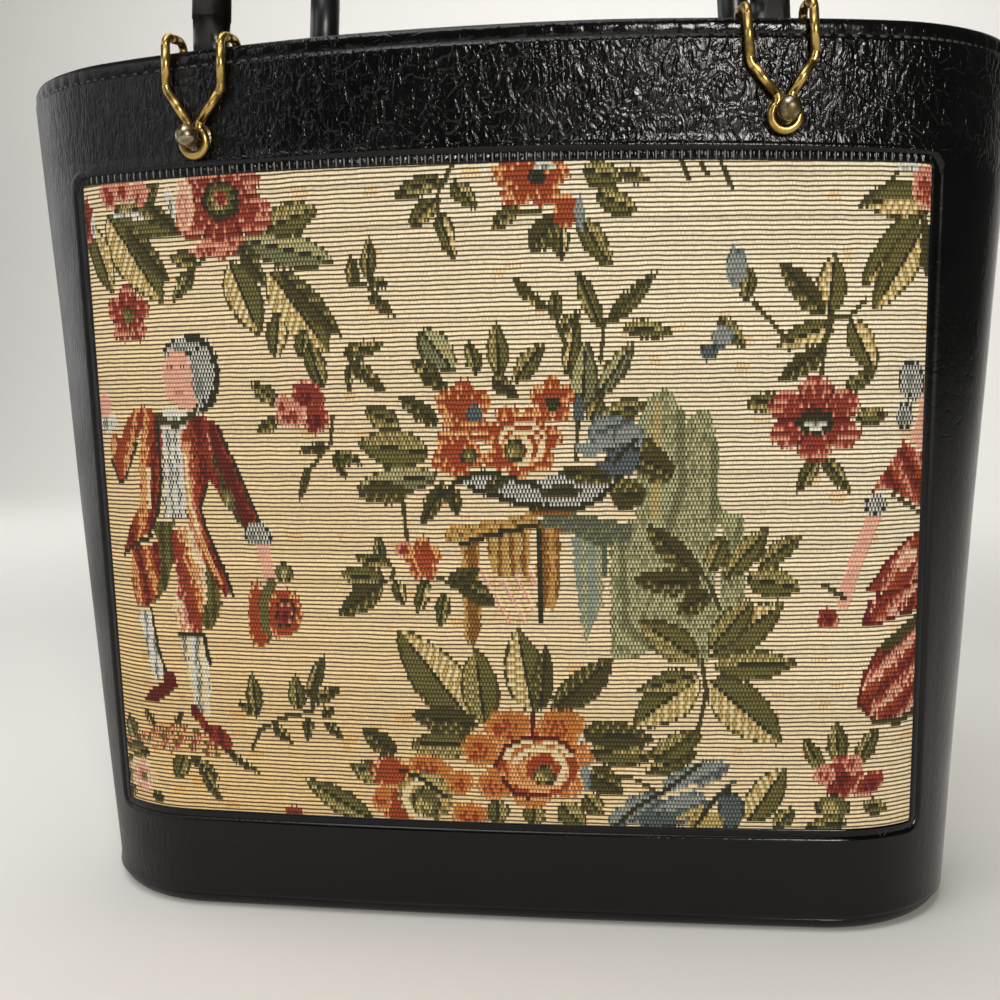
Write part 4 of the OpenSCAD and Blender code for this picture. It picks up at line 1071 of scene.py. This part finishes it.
def make_skin(side, rear):
    def lay(u, v):
        a, b = window_side(u, CLOTH_HALF, WINDOW_HALF)
        v = v ** ROW_CROWDING
        in_x, in_z = window_edge(a, b, BINDING_W - SKIN_LAP, CORNER_R)
        out_z = BASE_EDGE + SEAM_GAP + (BODY_H - LIP_H + LIP_LAP - BASE_EDGE) * (b + 1) / 2
        out_x = a * (half_length(out_z) - SEAM_GAP / 4)
        along, z = in_x + (out_x - in_x) * v, in_z + (out_z - in_z) * v
        reach = np.hypot(along - in_x, z - in_z)
        dip = np.clip(1 - reach / DIP_W, 0, 1)
        roll = np.exp(-((reach - ROLL_AT) / ROLL_W) ** 2) * ramp(b, ROLL_FROM_SHARE, ROLL_FADE_SHARE)
        # The hollows fade out at the window and the seams, but not under the rim's lip
        off_seam, off_window = ramp(1 - np.abs(a), 0, SEAM_FADE_SHARE), ramp(v, 0, EDGE_FADE_SHARE)
        under_lip = ramp(b, LIP_FROM_SHARE, LIP_FADE_SHARE) * off_seam * off_window
        hollow = np.maximum(ramp(v * (1 - v), 0, EDGE_FADE_SHARE), under_lip)
        inset = dents(along, z) * hollow + DIP_H * dip ** 2 - ROLL_H * roll
        return lifted(along, z, inset), surface_map(along, z)
    skin = add_piece(side + "_skin", laid_grid(*SKIN_GRID, lay, rear, closed=True), "bag", VINYL,
                     (side + "_vinyl_frame",))
    skin.modifiers.new("sheet", "SOLIDIFY").thickness = VINYL_T - SKIN_EASE


# The window's turned edge: its section across as shares of its width and depths under the skin's face
EDGE_SHARES = (0, 0.05, 0.18, 0.45, 0.72, 0.86, 0.94, 1)
EDGE_DEPTHS = np.array((0.75, 0.1, -0.14, -0.18, -0.12, 0.12, 0.25, 0.7)) * MM
# The pleats of its upper side, which drift a little from their even spacing
PLEAT = 2.2 * MM
PLEAT_H = 0.4 * MM
PLEAT_DRIFT, PLEAT_DRIFT_L = 0.35, 17 * MM
PLEAT_SHARPNESS = 4
TOP_FROM_SHARE, TOP_FADE_SHARE = 0.985, 0.01
CORNER_FADE_SHARE = 0.025
PLEAT_FADE_SHARE = 0.5


def make_binding(side, rear):
    def lay(u, v):
        a, b = window_side(u, CLOTH_HALF, WINDOW_HALF)
        in_x, in_z = window_edge(a, b, 0, INNER_CORNER_R)
        out_x, out_z = window_edge(a, b, BINDING_W, CORNER_R)
        along, z = in_x + (out_x - in_x) * v, in_z + (out_z - in_z) * v
        inset = np.interp(v, EDGE_SHARES, EDGE_DEPTHS)
        on_top = ramp(b, TOP_FROM_SHARE, TOP_FADE_SHARE) * ramp(1 - np.abs(a), 0, CORNER_FADE_SHARE)
        drift = PLEAT_DRIFT * np.sin(along / PLEAT_DRIFT_L)
        pleat = np.abs(np.cos(math.pi * along / PLEAT + drift)) ** PLEAT_SHARPNESS
        inset = inset + on_top * PLEAT_H * (0.5 - pleat) * ramp(np.sin(math.pi * v), 0, PLEAT_FADE_SHARE)
        return lifted(along, z, inset), surface_map(along, z)
    add_piece(side + "_binding", laid_grid(*BINDING_GRID, lay, rear, closed=True), "bag", VINYL,
              (side + "_window_binding",))


# The band over the rim: its section as heights below the rim and depths, outside, over and down inside
RIM_FALLS = np.array((5.4, 5.0, 4.2, 3.0, 1.6, 0.5, 0.0, 0.1, 0.8, 3,
                      12, 24, 35.6, 36, 35.6, 20, 4, 1.4, 1.4, 5.2)) * MM
RIM_DEPTHS = np.array((0.6, 0.0, -0.22, -0.35, -0.25, 0.35, 1.4, 2.5, 3.2, 3.4,
                       3.4, 3.4, 3.4, 3.1, 2.85, 2.8, 2.8, 2.6, 0.95, 0.9)) * MM
RIM_STITCH = 3.1 * MM
PUCKER_H = 0.28 * MM
PUCKER_SHARPNESS = 3
# Slow waves round the rim: their height, and how far two sines turn on the way round, in radians
RIM_WAVE_H = 0.25 * MM
RIM_WAVE_TURNS = (61, 23)


def make_rim():
    count = round(4 * half_length(BODY_H) / (2 * RIM_STITCH))
    knots = np.linspace(0, 1, len(RIM_FALLS) + 1)
    falls, depths = np.append(RIM_FALLS, RIM_FALLS[0]), np.append(RIM_DEPTHS, RIM_DEPTHS[0])

    def lay(u, v):
        place = -TIP + ROUND * u
        z = BODY_H - np.interp(v, knots, falls)
        pull = np.abs(np.cos(math.pi * u * count)) ** PUCKER_SHARPNESS
        outside = np.clip(1 - np.abs(v - knots[2]) / knots[3], 0, 1)
        inset = np.interp(v, knots, depths) + PUCKER_H * pull * outside
        wave = RIM_WAVE_H * np.sin(u * RIM_WAVE_TURNS[0]) * np.sin(u * RIM_WAVE_TURNS[1] + 1)
        points = sunk(wall(place, z, 0.0), wall(place, z, WALL_T), (inset + wave) / WALL_T)
        along = (2 * u % 1 - 0.5) * 2 * half_length(BODY_H)
        return points, surface_map(along, z)
    add_piece("rim_band", laid_grid(*RIM_GRID, lay, closed=True), "bag", VINYL, ("mouth_facing",))


def drawn_in(points, share):
    """Draws points in to the upright line through the bag's middle, by a share"""
    return points * (1 - share[:, None] * (1, 1, 0))


def make_base():
    bend_share = 0.35

    def lay(u, v):
        turn = np.clip(v / bend_share, 0, 1) * math.pi / 2
        z = BASE_EDGE * (1 - np.sin(turn))
        inset = BASE_EDGE * (1 - np.cos(turn))
        place = -TIP + ROUND * u
        points = sunk(wall(place, z, 0.0), wall(place, z, BASE_EDGE), inset / BASE_EDGE)
        points = drawn_in(points, ramp(v, bend_share, 1 - bend_share))
        return points, surface_map(points[:, 0], points[:, 1] + points[:, 2])
    bm = laid_grid(*BASE_GRID, lay, closed=True)
    bmesh.ops.reverse_faces(bm, faces=bm.faces[:])
    cover = add_piece("base_pan", bm, "bag", VINYL, ("base_cover",))
    cover.modifiers.new("sheet", "SOLIDIFY").thickness = VINYL_T


# The lining hangs under the facing in soft upright folds
LINING_T = 0.5 * MM
LINING_GAP = 0.3 * MM
LINING_IN = 0.75 * MM
FOLD_H = 0.35 * MM
FOLDS = 47
FOLD_SWAY, FOLD_SWAY_UP = 9, 3
LINING_MAP_H = 300 * MM


def make_lining():
    wall_share = 0.7
    top = BODY_H - FACING_H - LINING_GAP

    def lay(u, v):
        place = -TIP + ROUND * u
        down = np.clip(v / wall_share, 0, 1)
        z = top + (LINING_LOW - top) * down
        sway = np.sin(u * FOLD_SWAY + down * FOLD_SWAY_UP)
        fold = FOLD_H * np.sin(u * FOLDS * math.pi) * np.sin(down * math.pi) * sway
        face, under = wall(place, z, FACING_IN), wall(place, z, FACING_IN + WALL_T)
        points = sunk(face, under, (LINING_IN + fold) / WALL_T)
        points = drawn_in(points, ramp(v, wall_share, 1 - wall_share))
        return points, np.stack([u * 2 * half_length(z), v * LINING_MAP_H], axis=-1)
    bag = add_piece("lining_bag", laid_grid(*LINING_GRID, lay, closed=True), "bag", LINING,
                    ("lining",))
    bag.modifiers.new("cloth", "SOLIDIFY").thickness = LINING_T


# Stitches: short lengths of thread laid on the wall, flattened where they are pulled down. Each kind has
# its length, its thread's radius and its depth under the skin's face
THREAD_FLATNESS = 0.8
RIM_STITCH_L, RIM_THREAD_R, RIM_STITCH_IN = 2.3 * MM, 0.42 * MM, -0.2 * MM
WINDOW_STITCH_L, WINDOW_THREAD_R, WINDOW_STITCH_IN = 2.1 * MM, 0.3 * MM, 0.02 * MM
EDGE_STITCH_L, EDGE_THREAD_R, EDGE_STITCH_IN = 2.7 * MM, 0.24 * MM, -0.15 * MM
# The rim's row runs above the lip's lower edge, and the window's row outside its binding, but not on top
RIM_STITCH_UP = 0.5 * MM
WINDOW_STITCH = 2.9 * MM
WINDOW_STITCH_OUT = 2.75 * MM
TOP_SIDE_SHARE = 0.99
# The edge's stitches cross its upper side, clear of the corners. Their pale grey is a painted glint: light
# caught on the ridges over the turned edge
EDGE_STITCH_CLEAR = 4 * MM
# A stitch points from its middle to a place a little ahead
MIDDLE_AND_AHEAD = np.array([0.5, 0.6])
RIM_AHEAD = 0.01


def sew(bm, at, ahead, out, length, radius):
    along = (ahead - at).normalized()
    out = (out - out.dot(along) * along).normalized()
    side = out.cross(along)
    turn = Matrix((along, side, out)).transposed().to_4x4()
    size = Matrix.Diagonal((length / 2, radius, radius * THREAD_FLATNESS, 1))
    shape = Matrix.Translation(at) @ turn @ size
    bmesh.ops.create_uvsphere(bm, u_segments=8, v_segments=6, radius=1.0, matrix=shape)


def sew_on_skin(bm, along, z, inset, length, radius, rear=False):
    """Sews at the first of two points on the skin, towards the second"""
    turn = Matrix.Rotation(math.pi if rear else 0, 3, "Z")
    points, under = lifted(along, z, inset), on_skin(along, z, WALL_T)
    at, ahead, below = (turn @ Vector(p) for p in (points[0], points[1], under[0]))
    sew(bm, at, ahead, at - below, length, radius)


def make_rim_stitches():
    z = BODY_H - LIP_H + RIM_STITCH_UP
    count = round(2 * half_length(z) / RIM_STITCH)
    bm = bmesh.new()
    for k in range(2 * count):
        place = -TIP + 2 * TIP * (k + 0.5) / count
        at, ahead, under = (Vector(wall(np.array(p), z, inset)) for p, inset in
                            ((place, RIM_STITCH_IN), (place + RIM_AHEAD, RIM_STITCH_IN), (place, WALL_T)))
        sew(bm, at, ahead, at - under, RIM_STITCH_L, RIM_THREAD_R)
    add_piece("rim_stitches", bm, "bag", BLACK_THREAD)


def make_window_stitches(side, rear):
    count = round(4 * (CLOTH_HALF + WINDOW_HALF) / WINDOW_STITCH)
    bm = bmesh.new()
    for k in range(count):
        a, b = window_side((k + MIDDLE_AND_AHEAD) / count, CLOTH_HALF, WINDOW_HALF)
        if b[0] > TOP_SIDE_SHARE:
            continue
        along, z = window_edge(a, b, WINDOW_STITCH_OUT, CORNER_R)
        sew_on_skin(bm, along, z, np.full(2, WINDOW_STITCH_IN), WINDOW_STITCH_L, WINDOW_THREAD_R, rear)
    add_piece(side + "_window_stitches", bm, "bag", BLACK_THREAD)


def make_edge_stitches(side, rear):
    span = CLOTH_HALF - EDGE_STITCH_CLEAR
    bm = bmesh.new()
    for middle in np.arange(-span, span, PLEAT):
        along, z = window_edge(np.full(2, middle / CLOTH_HALF), np.ones(2), 0, INNER_CORNER_R)
        z = z + MIDDLE_AND_AHEAD * BINDING_W
        sew_on_skin(bm, along, z, np.full(2, EDGE_STITCH_IN), EDGE_STITCH_L, EDGE_THREAD_R, rear)
    add_piece(side + "_edge_stitches", bm, "bag", GLINT_GREY_THREAD)


# Ends of thread that stand off the seams: place along the wall, height and length in millimetres, and
# lean in degrees
LOOSE_ENDS = [
    (-150, 239, 4.5, 250), (-147, 240, 3, 285), (108, 29, 3.4, 300),
    (110, 29, 2.6, 240), (122.5, 33, 3.2, 20), (122.5, 32, 2.4, 325),
]
LOOSE_END_R = 0.14 * MM
LOOSE_END_INSETS = np.array([-0.25, -0.5]) * MM


def make_loose_ends():
    bm = bmesh.new()
    for along, up, length, lean in LOOSE_ENDS:
        run, rise = math.cos(math.radians(lean)), math.sin(math.radians(lean))
        half_way = np.array([0, length * MM / 2])
        sew_on_skin(bm, along * MM + run * half_way, up * MM + rise * half_way, LOOSE_END_INSETS,
                    length * MM, LOOSE_END_R)
    add_piece("loose_thread_ends", bm, "bag", BLACK_THREAD)


# Hard pieces keep their own form: merged copies, shaded smooth up to their real edges, in degrees
TUBE_EDGE = 40
WIRE_EDGE = 60
STUD_EDGE = 35


def smooth_copy(node, body, finish, edge_angle):
    bm = bmesh.new()
    bm.from_mesh(nodes[node].data)
    bmesh.ops.remove_doubles(bm, verts=bm.verts[:], dist=WELD)
    piece = add_piece(node + "_dressed", bm, body, finish, (node,))
    piece.data.set_sharp_from_angle(angle=math.radians(edge_angle))


FACES = (("front", False), ("back", True))
for side, rear in FACES:
    make_cloth(side, rear)
    make_skin(side, rear)
    make_binding(side, rear)
make_rim()
make_base()
make_lining()
make_rim_stitches()
for side, rear in FACES:
    make_window_stitches(side, rear)
    make_edge_stitches(side, rear)
make_loose_ends()
for side in ("front", "rear"):
    smooth_copy(side + "_handle", side + "_grip", TUBE, TUBE_EDGE)
    for hand in ("left", "right"):
        smooth_copy(f"{side}_{hand}_bail", side + "_bails", BRASS, WIRE_EDGE)
        smooth_copy(f"{side}_{hand}_stud", "bag", PLATED, STUD_EDGE)
        smooth_copy(f"{side}_{hand}_washer", "bag", PLATED, STUD_EDGE)
for name in ("body_board", "base_board"):
    nodes[name].data.materials.clear()
    nodes[name].data.materials.append(BOARD)


# The pale floor, which turns up into the backdrop behind the bag
def make_stage():
    front, depth, width, height, bend = -1.6, 3.0, 6.0, 3.0, 0.9

    def lay(u, v):
        run = v * (depth + bend * math.pi / 2 + height)
        turn = np.clip((run - depth) / bend, 0, math.pi / 2)
        y = front + np.minimum(run, depth) + bend * np.sin(turn)
        z = bend * (1 - np.cos(turn)) + np.maximum(run - depth - bend * math.pi / 2, 0)
        points = np.stack([(u - 0.5) * width, y, z], axis=-1)
        return points, np.stack([u, v], axis=-1)
    made, tree, shader = start_material("matt_paper")
    feed(tree, shader, {"Base Color": linear("#EFEDE8"), "Roughness": 0.9})
    add_object("paper_sweep", laid_grid(*SWEEP_GRID, lay), made)


make_stage()

# Soft lights: name, place, aim and size in metres, power in watts, and colour
BAG_MIDDLE = (0, 0, BODY_H / 2)
LIGHTS = [
    ("key", (0.6, -1.5, 0.58), BAG_MIDDLE, (0.3, 0.35), 14.4, "#FFFAF2"),
    ("fill", (-1.5, -1.0, 0.8), BAG_MIDDLE, (1.0, 1.0), 5, "#FAFAFF"),
    ("left_card", (-1.3, 0.4, 0.45), BAG_MIDDLE, (1.0, 0.9), 4.2, "#FFFFFF"),
    ("top", (-0.1, 0.0, 1.5), BAG_MIDDLE, (1.4, 1.0), 9, "#FFFFFF"),
    ("front_top", (-0.35, -0.9, 1.6), (-0.15, -0.2, 0), (0.8, 0.8), 8, "#FFFFFF"),
    ("backdrop", (0.0, 0.9, 1.2), (0.0, 2.3, 0.6), (2.4, 0.5), 19, "#FFFFFF"),
]
ROOM_LIGHT = 0.06


def add_light(name, at, aim, size, power, colour):
    lamp = bpy.data.lights.new(name, "AREA")
    lamp.shape = "RECTANGLE"
    lamp.size, lamp.size_y = size
    lamp.energy = power
    lamp.color = linear(colour)[:3]
    made = bpy.data.objects.new(name, lamp)
    made.location = at
    made.rotation_euler = (Vector(aim) - Vector(at)).to_track_quat("-Z", "Y").to_euler()
    bpy.context.scene.collection.objects.link(made)


for light in LIGHTS:
    add_light(*light)
world = bpy.data.worlds.new("soft_room")
bpy.context.scene.world = world
world.use_nodes = True
feed(world.node_tree, world.node_tree.nodes["Background"],
     {"Color": linear("#F2F1EE"), "Strength": ROOM_LIGHT})

# The camera stands where the photograph was taken from. Its turns are in radians, and its lens is a share
# of its sensor's width, which is in millimetres
CAMERA_AT = Vector((43.44 * MM, -365.31 * MM, 152.28 * MM))
CAMERA_YAW, CAMERA_PITCH, CAMERA_ROLL = 0.1294, -0.0873, 0.0147
SENSOR_W = 36
LENS_SHARE = 1.1487
CAMERA_NEAR = 10 * MM
camera_data = bpy.data.cameras.new("camera")
camera_data.sensor_width = SENSOR_W
camera_data.lens = SENSOR_W * LENS_SHARE
camera_data.clip_start = CAMERA_NEAR
camera = bpy.data.objects.new("camera", camera_data)
look = (Matrix.Rotation(CAMERA_YAW, 3, "Z") @ Matrix.Rotation(CAMERA_PITCH, 3, "X")
        @ Matrix.Rotation(CAMERA_ROLL, 3, "Y") @ Matrix.Rotation(math.pi / 2, 3, "X"))
camera.matrix_world = Matrix.Translation(CAMERA_AT) @ look.to_4x4()
bpy.context.scene.collection.objects.link(camera)
bpy.context.scene.camera = camera
bpy.context.scene.view_settings.view_transform = "Standard"
